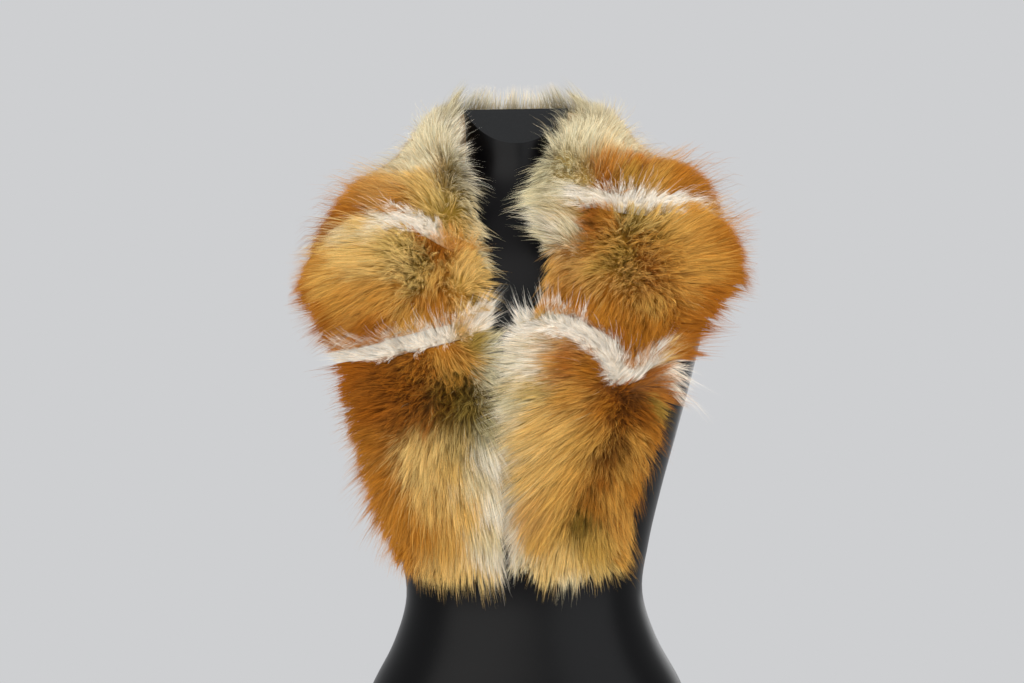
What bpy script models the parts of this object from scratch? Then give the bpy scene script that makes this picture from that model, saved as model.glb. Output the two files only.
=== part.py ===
"""A fox fur collar wrap, worn on a limbless torso form.

Metres, +Z up, the front towards -Y. The origin is the middle of the form's flat base.
Sides are the wearer's: the wearer's right is at -X.
"""

import math

import bpy
import bmesh
import numpy as np
from mathutils import Matrix, Vector
from mathutils.bvhtree import BVHTree

# The torso form: rounded outlines from a flat base to a flat neck top, whose front slants down.
FORM_HEIGHT = 0.720
FORM_SIDES = 44
RINGS_A_SECTION = 2
NECK_CUT_DROP = 0.035
NECK_CUT_SETBACK = 0.040
NECK_CUTTER_SIZE = 0.20
FORM_COLOUR = (0.012, 0.012, 0.013)
FORM_ROUGHNESS = 0.22

# height: above the base. half_width: to each side. front, back: y. square: exponent of the outline.
FORM_SECTIONS = [
    # name, height, half_width, front, back, square
    ("base", 0.000, 0.162, -0.090, 0.108, 2.3),
    ("base edge", 0.006, 0.169, -0.096, 0.114, 2.3),
    ("hips", 0.050, 0.176, -0.100, 0.119, 2.3),
    ("upper hips", 0.095, 0.172, -0.103, 0.115, 2.3),
    ("belly", 0.145, 0.1545, -0.102, 0.100, 2.3),
    ("under waist", 0.190, 0.131, -0.094, 0.084, 2.2),
    ("waist", 0.235, 0.118, -0.086, 0.075, 2.2),
    ("over waist", 0.285, 0.125, -0.088, 0.075, 2.2),
    ("ribs", 0.335, 0.137, -0.100, 0.079, 2.3),
    ("bust", 0.395, 0.154, -0.117, 0.087, 2.4),
    ("underarm", 0.445, 0.169, -0.112, 0.093, 2.5),
    ("chest", 0.495, 0.182, -0.098, 0.097, 2.6),
    ("arm cap", 0.540, 0.188, -0.086, 0.096, 2.5),
    ("shoulder tip", 0.575, 0.178, -0.077, 0.093, 2.4),
    ("shoulder", 0.597, 0.150, -0.069, 0.089, 2.3),
    ("shoulder slope", 0.615, 0.112, -0.062, 0.085, 2.2),
    ("neck root", 0.632, 0.077, -0.054, 0.080, 2.1),
    ("neck base", 0.655, 0.057, -0.047, 0.071, 2.0),
    ("neck", 0.687, 0.051, -0.046, 0.061, 2.0),
    ("neck top", FORM_HEIGHT, 0.0525, -0.048, 0.056, 2.0),
]

# The wrap: one band of fur from the right hem, over the right shoulder, round the back of the neck
# and down to the left hem. Each row is a line across the band, from the edge at the neck (inner) to
# the edge at the arm (outer), along the skin side, and the depth of the fur over it. The band's
# edges are the tips of the fur.
BAND_SECTIONS = [
    # name, inner (x, y, z), middle (x, y, z), outer (x, y, z), depth
    ("right hem", (-0.018, -0.094, 0.248), (-0.066, -0.086, 0.241), (-0.112, -0.058, 0.262), 0.034),
    ("right waist", (-0.018, -0.112, 0.360), (-0.086, -0.100, 0.358), (-0.147, -0.046, 0.352), 0.036),
    ("right low seam", (-0.022, -0.114, 0.475), (-0.104, -0.102, 0.468), (-0.168, -0.042, 0.457), 0.036),
    ("right chest", (-0.028, -0.092, 0.560), (-0.128, -0.084, 0.562), (-0.208, -0.018, 0.532), 0.038),
    ("right collar", (-0.044, -0.062, 0.650), (-0.136, -0.055, 0.617), (-0.211, 0.015, 0.536), 0.038),
    ("right shoulder", (-0.060, 0.004, 0.714), (-0.138, 0.010, 0.637), (-0.209, 0.048, 0.536), 0.036),
    ("right back", (-0.046, 0.068, 0.740), (-0.112, 0.090, 0.640), (-0.178, 0.112, 0.530), 0.036),
    ("back", (0.000, 0.088, 0.748), (0.000, 0.104, 0.640), (0.000, 0.118, 0.525), 0.034),
    ("left back", (0.046, 0.068, 0.740), (0.112, 0.090, 0.640), (0.180, 0.112, 0.530), 0.038),
    ("left shoulder", (0.060, 0.004, 0.708), (0.144, 0.010, 0.642), (0.214, 0.046, 0.540), 0.050),
    ("left collar", (0.018, -0.076, 0.642), (0.128, -0.060, 0.624), (0.214, 0.010, 0.540), 0.052),
    ("left chest", (0.021, -0.096, 0.560), (0.122, -0.086, 0.562), (0.206, -0.020, 0.534), 0.042),
    ("left low seam", (-0.013, -0.116, 0.475), (0.074, -0.110, 0.470), (0.148, -0.062, 0.462), 0.036),
    ("left waist", (-0.017, -0.112, 0.360), (0.050, -0.108, 0.356), (0.110, -0.080, 0.352), 0.036),
    ("left hem", (-0.017, -0.094, 0.252), (0.042, -0.092, 0.241), (0.094, -0.074, 0.257), 0.034),
]
BACK_MIDDLE = 7.0  # the back's row number, where the right half meets the left
FRONT_MEETING_X = -0.018
FRONT_MEETING_GAP = 0.0012

# The seams, as the row number at which each crosses the band, from its inner edge to its outer edge.
STRIP_WIDTH = 0.016
SEAMS = [
    # name, inner edge, then at each sixth of the way, outer edge
    ("right_strip_lower", 2.42, 2.26, 2.20, 2.17, 2.15, 2.19, 2.26),
    ("right_strip_upper", 3.05, 3.20, 3.50, 3.61, 3.66, 3.85, 4.10),
    ("right_strip_back", 5.75, 5.79, 5.84, 5.90, 5.97, 6.03, 6.10),
    ("left_strip_back", 8.25, 8.21, 8.16, 8.10, 8.03, 7.97, 7.90),
    ("left_strip_upper", 10.18, 10.28, 10.38, 10.28, 9.80, 9.35, 9.10),
    ("left_strip_lower", 11.88, 11.70, 11.78, 11.92, 12.16, 11.94, 11.75),
]
PANELS = [
    # name, rings along it, kind of fur
    ("right_front_lower", 13, "orange"),
    ("right_front_upper", 12, "orange"),
    ("right_shoulder", 14, "orange"),
    ("back_collar", 15, "cream"),
    ("left_shoulder", 14, "orange"),
    ("left_front_upper", 12, "orange"),
    ("left_front_lower", 13, "orange"),
]
STRIP_RINGS = 4
SEAM_GAP = 0.0004
SLANT_STEP = 0.02  # how far to each side, in c, a seam's slant is measured

FUR_COLOURS = {
    "orange": (0.42, 0.19, 0.05),
    "cream": (0.62, 0.52, 0.34),
    "white": (0.80, 0.74, 0.64),
}
FUR_ROUGHNESS = 0.85

# The fur's depth over the skin side, as shares of the depth in BAND_SECTIONS.
SEAM_DEPTH_SHARE = 0.72
SEAM_VALLEY_WIDTH = 0.030
EDGE_HEIGHT_SHARE = 0.36
TOP_SQUARE = 2.5
UNDERSIDE_SQUARE = 7.0
STEPS_ACROSS = 18
HEM_ROUND_ROWS = 0.42
HEM_RINGS = 5
HEM_NARROWING = 0.5
HEM_BLUNTNESS = 0.4

# Laying the band over the form.
GRID_ALONG = 281
GRID_ACROSS = 33
SKIN_CLEARANCE = 0.0020
INSIDE_SLANT = 0.3  # a point counts as inside when its way to the surface is at most this far off the normal
SMOOTHING_PASSES = 8
NORMAL_SMOOTHING_PASSES = 30


def through(knots, rows, at):
    """A smooth curve through one row of values for each knot, read at each value of at."""
    knots = np.asarray(knots, float)
    rows = np.asarray(rows, float)
    at = np.clip(np.asarray(at, float), knots[0], knots[-1])
    slopes = np.gradient(rows, knots, axis=0)
    i = np.clip(np.searchsorted(knots, at, side="right") - 1, 0, len(knots) - 2)
    width = knots[i + 1] - knots[i]
    f = (at - knots[i]) / width
    f, width = (x.reshape(x.shape + (1,) * (rows.ndim - 1)) for x in (f, width))
    return (
        (2 * f**3 - 3 * f**2 + 1) * rows[i]
        + (f**3 - 2 * f**2 + f) * width * slopes[i]
        + (3 * f**2 - 2 * f**3) * rows[i + 1]
        + (f**3 - f**2) * width * slopes[i + 1]
    )


def lofted(name, rings, collection):
    """A closed solid through rings of equally many points, with a ladder of faces over each end."""
    mesh = bmesh.new()
    loops = [[mesh.verts.new(p) for p in ring] for ring in rings]
    for low, high in zip(loops, loops[1:]):
        for k in range(len(low)):
            after = (k + 1) % len(low)
            mesh.faces.new((low[k], low[after], high[after], high[k]))
    for loop in (loops[0], loops[-1]):
        for k in range(len(loop) // 2):
            rung = (loop[k], loop[k + 1], loop[-k - 1], loop[-k] if k else loop[0])
            mesh.faces.new(list(dict.fromkeys(rung)))
    bmesh.ops.recalc_face_normals(mesh, faces=mesh.faces)
    if mesh.calc_volume(signed=True) < 0:
        bmesh.ops.reverse_faces(mesh, faces=mesh.faces)
    data = bpy.data.meshes.new(name)
    mesh.to_mesh(data)
    mesh.free()
    data.shade_smooth()
    solid = bpy.data.objects.new(name, data)
    collection.objects.link(solid)
    return solid


def material(name, colour, roughness):
    """A plain Principled material."""
    made = bpy.data.materials.new(name)
    made.use_nodes = True
    shader = made.node_tree.nodes["Principled BSDF"]
    shader.inputs["Base Color"].default_value = (*colour, 1.0)
    shader.inputs["Roughness"].default_value = roughness
    return made


def form_rings():
    """The form's outlines from the base to the neck top."""
    heights = [row[1] for row in FORM_SECTIONS]
    sizes = [row[2:] for row in FORM_SECTIONS]
    steps = [
        low + (high - low) * k / RINGS_A_SECTION
        for low, high in zip(heights, heights[1:])
        for k in range(RINGS_A_SECTION)
    ] + [heights[-1]]
    rings = []
    for height, (half_width, front, back, square) in zip(steps, through(heights, sizes, steps)):
        ring = []
        for k in range(FORM_SIDES):
            angle = 2 * math.pi * k / FORM_SIDES
            across, deep = math.cos(angle), math.sin(angle)
            x = half_width * math.copysign(abs(across) ** (2 / square), across)
            y = (back - front) / 2 * math.copysign(abs(deep) ** (2 / square), deep)
            ring.append((x, (front + back) / 2 + y, height))
        rings.append(ring)
    return rings


def neck_cutter(collection):
    """A tilted block that takes the slanted flat off the front of the neck top."""
    bpy.ops.mesh.primitive_cube_add(size=NECK_CUTTER_SIZE)
    block = bpy.context.object
    block.name = "neck_cutter"
    neck_front = FORM_SECTIONS[-1][3]
    slope = math.atan2(NECK_CUT_DROP, NECK_CUT_SETBACK)
    # The block's underside runs from the front of the neck, NECK_CUT_DROP down, up and back to the top.
    block.rotation_euler = (slope, 0, 0)
    start = Vector((0, neck_front, FORM_HEIGHT - NECK_CUT_DROP))
    up = Matrix.Rotation(slope, 3, "X") @ Vector((0, 0, 1))
    block.location = start + up * NECK_CUTTER_SIZE / 2
    block.hide_render = True
    block.display_type = "WIRE"
    for owner in block.users_collection:
        owner.objects.unlink(block)
    collection.objects.link(block)
    return block


def make_form(parts, cutters):
    """Makes the torso form, and gives the bare loft that the wrap is laid over."""
    form = lofted("torso_form", form_rings(), parts)
    lay = BVHTree.FromPolygons(
        [v.co for v in form.data.vertices], [p.vertices for p in form.data.polygons]
    )
    cut = form.modifiers.new("slanted neck front", "BOOLEAN")
    cut.operation = "DIFFERENCE"
    cut.object = neck_cutter(cutters)
    form.data.materials.append(material("black plastic", FORM_COLOUR, FORM_ROUGHNESS))
    return lay


def pushed_off(points, lay, clearance):
    """The points, with each that lies in the form or too near it moved out along the form's normal."""
    moved = np.array(points)
    for k, point in enumerate(points):
        spot, normal, _, away = lay.find_nearest(Vector(point))
        inside = (Vector(point) - spot).dot(normal) < -INSIDE_SLANT * away
        if inside or away < clearance:
            moved[k] = spot + normal * clearance
    return moved


def smoothed(grid):
    """The grid's values, each moved half way to the mean of its neighbours along and across."""
    wide = np.pad(grid, ((1, 1), (1, 1), (0, 0)), mode="edge")
    mean = (wide[:-2, 1:-1] + wide[2:, 1:-1] + wide[1:-1, :-2] + wide[1:-1, 2:]) / 4
    return (grid + mean) / 2


class Skin:
    """The band's skin side as a grid: u counts the rows of BAND_SECTIONS, c is -1 inside to 1 outside."""

    def __init__(self, lay):
        self.u = np.linspace(0, len(BAND_SECTIONS) - 1, GRID_ALONG)
        self.c = np.linspace(-1, 1, GRID_ACROSS)
        rows = np.array([row[1:4] for row in BAND_SECTIONS])
        inner, middle, outer = through(range(len(rows)), rows, self.u).transpose(1, 0, 2)[..., None, :]
        c = self.c[None, :, None]
        plain = c * (c - 1) / 2 * inner + (1 - c**2) * middle + c * (c + 1) / 2 * outer
        lift = np.zeros_like(plain)
        for _ in range(SMOOTHING_PASSES):
            clear = pushed_off((plain + lift).reshape(-1, 3), lay, SKIN_CLEARANCE)
            lift = smoothed(clear.reshape(plain.shape) - plain)
        self.grid = plain + lift
        self.along, self.across = np.gradient(self.grid, self.u, self.c, axis=(0, 1))
        normal = np.cross(self.along, self.across)
        for _ in range(NORMAL_SMOOTHING_PASSES):
            normal = smoothed(normal / np.linalg.norm(normal, axis=2, keepdims=True))
        self.normal = normal / np.linalg.norm(normal, axis=2, keepdims=True)

    def read(self, values, u, c):
        """The grid's values at (u, c), between its points."""
        i = np.clip((u - self.u[0]) / (self.u[1] - self.u[0]), 0, GRID_ALONG - 1.001)
        j = np.clip((c - self.c[0]) / (self.c[1] - self.c[0]), 0, GRID_ACROSS - 1.001)
        low_i, low_j = i.astype(int), j.astype(int)
        f, g = (i - low_i)[:, None], (j - low_j)[:, None]
        return (
            values[low_i, low_j] * (1 - f) * (1 - g)
            + values[low_i + 1, low_j] * f * (1 - g)
            + values[low_i, low_j + 1] * (1 - f) * g
            + values[low_i + 1, low_j + 1] * f * g
        )


def seam_line(row, c):
    """The u at which a seam crosses the band at each c."""
    return through(np.linspace(-1, 1, len(row) - 1), row[1:], c)


def fur_depth(skin, u, c):
    """The fur's depth: full in the middle of a panel, less along each seam."""
    depth = through(range(len(BAND_SECTIONS)), [row[4] for row in BAND_SECTIONS], u)
    row_length = np.linalg.norm(skin.read(skin.along, u, c), axis=1)
    for row in SEAMS:
        away = (u - seam_line(row, c)) * row_length / SEAM_VALLEY_WIDTH
        depth *= 1 - (1 - SEAM_DEPTH_SHARE) * np.exp(-(away**2))
    return depth


def outline():
    """The band's cross-section as (c, side) pairs: side is 1 on the fur's outside and -1 on the skin side."""
    under = -np.cos(np.linspace(0, math.pi, STEPS_ACROSS + 1))
    top = under[-2:0:-1]
    return np.concatenate([under, top]), np.concatenate([-np.ones(len(under)), np.ones(len(top))])


def band_ring(skin, u, c, side, fullness=1.0):
    """One ring round the band. fullness below 1 draws it in towards a rounded end."""
    c_in = c * (1 - HEM_NARROWING * (1 - fullness))
    top_height = (1 - np.abs(c) ** TOP_SQUARE) ** (1 / TOP_SQUARE) * fullness
    under_height = (1 - np.abs(c) ** UNDERSIDE_SQUARE) ** (1 / UNDERSIDE_SQUARE) * fullness
    share = np.where(
        side > 0,
        EDGE_HEIGHT_SHARE + (1 - EDGE_HEIGHT_SHARE) * top_height,
        EDGE_HEIGHT_SHARE * (1 - under_height),
    )
    depth = fur_depth(skin, u, c_in)
    points = skin.read(skin.grid, u, c_in) + skin.read(skin.normal, u, c_in) * (share * depth)[:, None]
    front = points[:, 1] < 0
    right = u < BACK_MIDDLE
    limit = FRONT_MEETING_X + np.where(right, -1, 1) * FRONT_MEETING_GAP / 2
    points[:, 0] = np.where(front & right, np.minimum(points[:, 0], limit), points[:, 0])
    points[:, 0] = np.where(front & ~right, np.maximum(points[:, 0], limit), points[:, 0])
    return points


def piece_rings(skin, start, end, count, lay):
    """Rings along a piece, from one row of u values round the outline to another. None is a hem."""
    c, side = outline()
    low = np.full(len(c), HEM_ROUND_ROWS) if start is None else start
    high = np.full(len(c), len(BAND_SECTIONS) - 1 - HEM_ROUND_ROWS) if end is None else end
    rings = [
        band_ring(skin, low + (high - low) * k / (count - 1), c, side) for k in range(count)
    ]
    for k in range(1, HEM_RINGS + 1):
        turn = math.pi / 2 * k / (HEM_RINGS + HEM_BLUNTNESS)
        reach, fullness = HEM_ROUND_ROWS * math.sin(turn), math.cos(turn)
        if start is None:
            rings.insert(0, band_ring(skin, low - reach, c, side, fullness))
        if end is None:
            rings.append(band_ring(skin, high + reach, c, side, fullness))
    rings = [pushed_off(ring, lay, SKIN_CLEARANCE) for ring in rings]
    # Each end at a seam is drawn back by half the seam's gap, all of it the same way.
    if start is not None:
        rings[0] = rings[0] + seam_pull(rings[0], rings[1])
    if end is not None:
        rings[-1] = rings[-1] + seam_pull(rings[-1], rings[-2])
    return rings


def seam_pull(ring, inward):
    """Half the seam's gap, in the direction from a ring to the next one inside its piece."""
    way = (inward - ring).mean(axis=0)
    return way / np.linalg.norm(way) * SEAM_GAP / 2


def edge_of(skin, row, offset):
    """The u values round the outline at a line beside a seam's middle, offset metres along the band."""
    c, _ = outline()
    u = seam_line(row, c)
    slant = (seam_line(row, c + SLANT_STEP) - seam_line(row, c - SLANT_STEP)) / (2 * SLANT_STEP)
    row_length = np.linalg.norm(skin.read(skin.along, u, c), axis=1)
    half_breadth = np.linalg.norm(skin.read(skin.across, u, c), axis=1)
    return u + offset / row_length * np.hypot(1, slant * row_length / half_breadth)


def make_wrap(parts, lay):
    """The fur panels and the strips between them."""
    skin = Skin(lay)
    furs = {kind: material(f"{kind} fur", tone, FUR_ROUGHNESS) for kind, tone in FUR_COLOURS.items()}
    half = STRIP_WIDTH / 2
    lines = [edge_of(skin, row, offset) for row in SEAMS for offset in (-half, half)]
    lines = [None, *lines, None]
    for k, (name, rings, kind) in enumerate(PANELS):
        panel = lofted(name, piece_rings(skin, lines[2 * k], lines[2 * k + 1], rings, lay), parts)
        panel.data.materials.append(furs[kind])
    for k, row in enumerate(SEAMS):
        start, end = lines[2 * k + 1], lines[2 * k + 2]
        strip = lofted(row[0], piece_rings(skin, start, end, STRIP_RINGS, lay), parts)
        strip.data.materials.append(furs["white"])


def collection_named(name):
    made = bpy.data.collections.new(name)
    bpy.context.scene.collection.children.link(made)
    return made


def main():
    for old in list(bpy.data.objects):
        bpy.data.objects.remove(old)
    parts = collection_named("fur collar wrap")
    cutters = collection_named("cutters")
    make_wrap(parts, make_form(parts, cutters))


main()
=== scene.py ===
# A fox fur collar wrap on a torso form: leather pelts sewn together, each with its own coat of hair.
import math

import bmesh
import bpy
import numpy as np
from mathutils import Matrix, Vector
from mathutils.bvhtree import BVHTree
from mathutils.kdtree import KDTree


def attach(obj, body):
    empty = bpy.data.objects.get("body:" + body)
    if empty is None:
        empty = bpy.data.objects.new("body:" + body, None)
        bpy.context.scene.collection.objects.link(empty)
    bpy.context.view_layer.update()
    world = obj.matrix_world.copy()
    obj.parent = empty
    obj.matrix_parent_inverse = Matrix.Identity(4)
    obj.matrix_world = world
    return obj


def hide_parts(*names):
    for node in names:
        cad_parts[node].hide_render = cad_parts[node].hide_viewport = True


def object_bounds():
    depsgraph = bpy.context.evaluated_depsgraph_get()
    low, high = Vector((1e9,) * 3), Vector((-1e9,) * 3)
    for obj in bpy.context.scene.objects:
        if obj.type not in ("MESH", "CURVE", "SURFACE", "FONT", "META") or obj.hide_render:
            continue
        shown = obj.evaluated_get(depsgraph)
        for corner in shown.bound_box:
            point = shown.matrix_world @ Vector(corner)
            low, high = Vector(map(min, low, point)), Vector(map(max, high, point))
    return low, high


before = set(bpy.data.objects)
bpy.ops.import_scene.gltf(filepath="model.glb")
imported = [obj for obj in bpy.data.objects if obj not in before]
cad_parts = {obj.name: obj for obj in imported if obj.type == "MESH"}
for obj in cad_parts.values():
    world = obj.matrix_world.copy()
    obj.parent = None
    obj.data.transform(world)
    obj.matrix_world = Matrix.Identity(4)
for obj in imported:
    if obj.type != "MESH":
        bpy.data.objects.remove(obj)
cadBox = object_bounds()
scene = bpy.context.scene
print("frame loaded:", len(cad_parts), "pieces")

# The torso form's outlines and the band that the wrap is cut from, in metres, as in the part's source.
form = {
    "height": 0.720, "sides": 144, "ringsASection": 6,
    "laySides": 44, "layRings": 2,  # a plainer shell of it, which the band is laid over
    "neckCutDrop": 0.040, "neckCutSetback": 0.040,
    "neckEdge": 0.0026,  # how far the slanted cut's edge is rounded
    "sections": [
        # height, half width, front, back, square
        (0.000, 0.162, -0.090, 0.108, 2.3),
        (0.006, 0.169, -0.096, 0.114, 2.3),
        (0.050, 0.176, -0.100, 0.119, 2.3),
        (0.095, 0.172, -0.103, 0.115, 2.3),
        (0.145, 0.1545, -0.102, 0.100, 2.3),
        (0.190, 0.131, -0.094, 0.084, 2.2),
        (0.235, 0.118, -0.086, 0.075, 2.2),
        (0.285, 0.125, -0.088, 0.075, 2.2),
        (0.335, 0.137, -0.100, 0.079, 2.3),
        (0.395, 0.154, -0.117, 0.087, 2.4),
        (0.445, 0.169, -0.112, 0.093, 2.5),
        (0.495, 0.182, -0.098, 0.097, 2.6),
        (0.540, 0.188, -0.086, 0.096, 2.5),
        (0.575, 0.178, -0.077, 0.093, 2.4),
        (0.597, 0.150, -0.069, 0.089, 2.3),
        (0.615, 0.112, -0.062, 0.085, 2.2),
        (0.632, 0.077, -0.054, 0.080, 2.1),
        (0.655, 0.057, -0.047, 0.071, 2.0),
        (0.687, 0.051, -0.046, 0.061, 2.0),
        (0.720, 0.0525, -0.048, 0.056, 2.0),
    ],
}

band = {
    "rows": [
        # inner edge, middle, outer edge, fur depth, from the right hem round the neck to the left hem
        ((-0.018, -0.094, 0.248), (-0.066, -0.086, 0.241), (-0.112, -0.058, 0.262), 0.034),
        ((-0.018, -0.112, 0.360), (-0.086, -0.100, 0.358), (-0.147, -0.046, 0.352), 0.036),
        ((-0.022, -0.114, 0.475), (-0.104, -0.102, 0.468), (-0.168, -0.042, 0.457), 0.036),
        ((-0.028, -0.092, 0.560), (-0.128, -0.084, 0.562), (-0.208, -0.018, 0.532), 0.038),
        ((-0.044, -0.062, 0.650), (-0.136, -0.055, 0.617), (-0.211, 0.015, 0.536), 0.038),
        ((-0.060, 0.004, 0.714), (-0.138, 0.010, 0.637), (-0.209, 0.048, 0.536), 0.036),
        ((-0.046, 0.068, 0.740), (-0.112, 0.090, 0.640), (-0.178, 0.112, 0.530), 0.036),
        ((0.000, 0.088, 0.748), (0.000, 0.104, 0.640), (0.000, 0.118, 0.525), 0.034),
        ((0.046, 0.068, 0.740), (0.112, 0.090, 0.640), (0.180, 0.112, 0.530), 0.038),
        ((0.060, 0.004, 0.708), (0.144, 0.010, 0.642), (0.214, 0.046, 0.540), 0.050),
        ((0.018, -0.076, 0.642), (0.128, -0.060, 0.624), (0.214, 0.010, 0.540), 0.052),
        ((0.021, -0.096, 0.560), (0.122, -0.086, 0.562), (0.206, -0.020, 0.534), 0.042),
        ((-0.013, -0.116, 0.475), (0.074, -0.110, 0.470), (0.148, -0.062, 0.462), 0.036),
        ((-0.017, -0.112, 0.360), (0.050, -0.108, 0.356), (0.110, -0.080, 0.352), 0.036),
        ((-0.017, -0.094, 0.252), (0.042, -0.092, 0.241), (0.094, -0.074, 0.257), 0.034),
    ],
    "seams": {  # the row number at which each seam crosses, from the inner edge to the outer edge
        "right_strip_lower": (2.42, 2.26, 2.20, 2.17, 2.15, 2.19, 2.26),
        "right_strip_upper": (3.05, 3.20, 3.50, 3.61, 3.66, 3.85, 4.10),
        "right_strip_back": (5.75, 5.79, 5.84, 5.90, 5.97, 6.03, 6.10),
        "left_strip_back": (8.25, 8.21, 8.16, 8.10, 8.03, 7.97, 7.90),
        "left_strip_upper": (10.18, 10.28, 10.38, 10.28, 9.80, 9.35, 9.10),
        "left_strip_lower": (11.88, 11.70, 11.78, 11.92, 12.16, 11.94, 11.75),
    },
    "backMiddle": 7.0, "stripWidth": 0.016, "seamGap": 0.0004,
    "gridAlong": 281, "gridAcross": 33, "clearance": 0.0020, "insideSlant": 0.3,
    "smoothing": 8, "normalSmoothing": 30,
    "seamDepthShare": 0.72, "seamValley": 0.030, "edgeShare": 0.36, "topSquare": 2.5, "hemRound": 0.42,
}
lastRow = len(band["rows"]) - 1


def through(knots, rows, at):  # a smooth curve through one row of values for each knot
    knots, rows = np.asarray(knots, float), np.asarray(rows, float)
    at = np.clip(np.asarray(at, float), knots[0], knots[-1])
    slopes = np.gradient(rows, knots, axis=0)
    i = np.clip(np.searchsorted(knots, at, side="right") - 1, 0, len(knots) - 2)
    width = knots[i + 1] - knots[i]
    f = (at - knots[i]) / width
    f, width = (x.reshape(x.shape + (1,) * (rows.ndim - 1)) for x in (f, width))
    return (
        (2 * f**3 - 3 * f**2 + 1) * rows[i]
        + (f**3 - 2 * f**2 + f) * width * slopes[i]
        + (3 * f**2 - 2 * f**3) * rows[i + 1]
        + (f**3 - f**2) * width * slopes[i + 1]
    )


def unit(vectors):
    return vectors / np.maximum(np.linalg.norm(vectors, axis=-1, keepdims=True), 1e-9)


def added(name, data, *materials):  # a new object in the scene
    made = bpy.data.objects.new(name, data)
    scene.collection.objects.link(made)
    for material in materials:
        data.materials.append(material)
    return made


def formShell(sides, ringsASection):  # the torso form's points and faces, closed at both ends
    heights = [row[0] for row in form["sections"]]
    steps = [
        low + (high - low) * k / ringsASection
        for low, high in zip(heights, heights[1:])
        for k in range(ringsASection)
    ] + [heights[-1]]
    angle = 2 * np.pi * np.arange(sides) / sides
    across, deep = np.cos(angle), np.sin(angle)
    points = []
    sizes = through(heights, [row[1:] for row in form["sections"]], steps)
    for height, (halfWidth, front, back, square) in zip(steps, sizes):
        x = halfWidth * np.sign(across) * np.abs(across) ** (2 / square)
        y = (front + back) / 2 + (back - front) / 2 * np.sign(deep) * np.abs(deep) ** (2 / square)
        points += np.column_stack([x, y, np.full(sides, height)]).tolist()
    faces = [
        (r * sides + k, r * sides + (k + 1) % sides, (r + 1) * sides + (k + 1) % sides, (r + 1) * sides + k)
        for r in range(len(steps) - 1)
        for k in range(sides)
    ]
    return points, faces + [tuple(range(sides))[::-1], tuple(range(len(points) - sides, len(points)))]


class BandSkin:  # the band's skin side: u counts the rows, c runs from -1 at the neck to 1 at the arm
    def __init__(self, lay):
        self.u = np.linspace(0, lastRow, band["gridAlong"])
        self.c = np.linspace(-1, 1, band["gridAcross"])
        rows = np.array([row[:3] for row in band["rows"]])
        inner, middle, outer = through(range(len(rows)), rows, self.u).transpose(1, 0, 2)[..., None, :]
        c = self.c[None, :, None]
        plain = c * (c - 1) / 2 * inner + (1 - c**2) * middle + c * (c + 1) / 2 * outer
        lift = np.zeros_like(plain)
        for _ in range(band["smoothing"]):
            clear = self.pushedOff((plain + lift).reshape(-1, 3), lay)
            lift = self.smoothed(clear.reshape(plain.shape) - plain)
        self.place = plain + lift
        self.along, self.across = np.gradient(self.place, self.u, self.c, axis=(0, 1))
        normal = np.cross(self.along, self.across)
        for _ in range(band["normalSmoothing"]):
            normal = self.smoothed(unit(normal))
        self.normal = unit(normal)
        self.halfBreadth = np.linalg.norm(self.across, axis=2).mean(axis=1)

    def pushedOff(self, points, lay):
        moved = np.array(points)
        for k, point in enumerate(points):
            spot, normal, _, away = lay.find_nearest(Vector(point))
            inside = (Vector(point) - spot).dot(normal) < -band["insideSlant"] * away
            if inside or away < band["clearance"]:
                moved[k] = spot + normal * band["clearance"]
        return moved

    def smoothed(self, grid):
        wide = np.pad(grid, ((1, 1), (1, 1), (0, 0)), mode="edge")
        mean = (wide[:-2, 1:-1] + wide[2:, 1:-1] + wide[1:-1, :-2] + wide[1:-1, 2:]) / 4
        return (grid + mean) / 2

    def read(self, values, u, c):
        i = np.clip((u - self.u[0]) / (self.u[1] - self.u[0]), 0, band["gridAlong"] - 1.001)
        j = np.clip((c - self.c[0]) / (self.c[1] - self.c[0]), 0, band["gridAcross"] - 1.001)
        lowI, lowJ = i.astype(int), j.astype(int)
        f, g = (i - lowI)[:, None], (j - lowJ)[:, None]
        return (
            values[lowI, lowJ] * (1 - f) * (1 - g)
            + values[lowI + 1, lowJ] * f * (1 - g)
            + values[lowI, lowJ + 1] * (1 - f) * g
            + values[lowI + 1, lowJ + 1] * f * g
        )

    def spot(self, u, c, height):  # a point over the skin, also a little way past the band's edges
        cIn, uIn = np.clip(c, -1, 1), np.clip(u, self.u[0], self.u[-1])
        past = self.read(self.across, uIn, cIn) * (c - cIn)[:, None]
        past += self.read(self.along, uIn, cIn) * (u - uIn)[:, None]
        return self.read(self.place, uIn, cIn) + past + self.read(self.normal, uIn, cIn) * height[:, None]

    def breadthAt(self, u):
        return np.interp(u, self.u, self.halfBreadth)

    def rowLength(self, u, c):
        return np.linalg.norm(self.read(self.along, u, c), axis=1)


def seamLine(name, c):
    row = band["seams"][name]
    return through(np.linspace(-1, 1, len(row)), row, c)


def furDepth(skin, u, c):  # full in the middle of a panel, less along each seam
    depth = through(range(len(band["rows"])), [row[3] for row in band["rows"]], u)
    for name in band["seams"]:
        away = (u - seamLine(name, c)) * skin.rowLength(u, c) / band["seamValley"]
        depth = depth * (1 - (1 - band["seamDepthShare"]) * np.exp(-(away**2)))
    return depth


def capHeight(skin, u, c):  # where the tips of the fur lie over the skin
    inside = np.minimum(np.abs(c), 1)
    rounded = (1 - inside ** band["topSquare"]) ** (1 / band["topSquare"])
    toHem = np.clip(np.minimum(u, lastRow - u) / band["hemRound"], 0, 1)
    share = band["edgeShare"] + (1 - band["edgeShare"]) * rounded * np.sqrt(1 - (1 - toHem) ** 2)
    return furDepth(skin, np.clip(u, 0, lastRow), np.clip(c, -1, 1)) * share


skin = BandSkin(BVHTree.FromPolygons(*formShell(form["laySides"], form["layRings"])))
print("band laid over the form")


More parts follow.
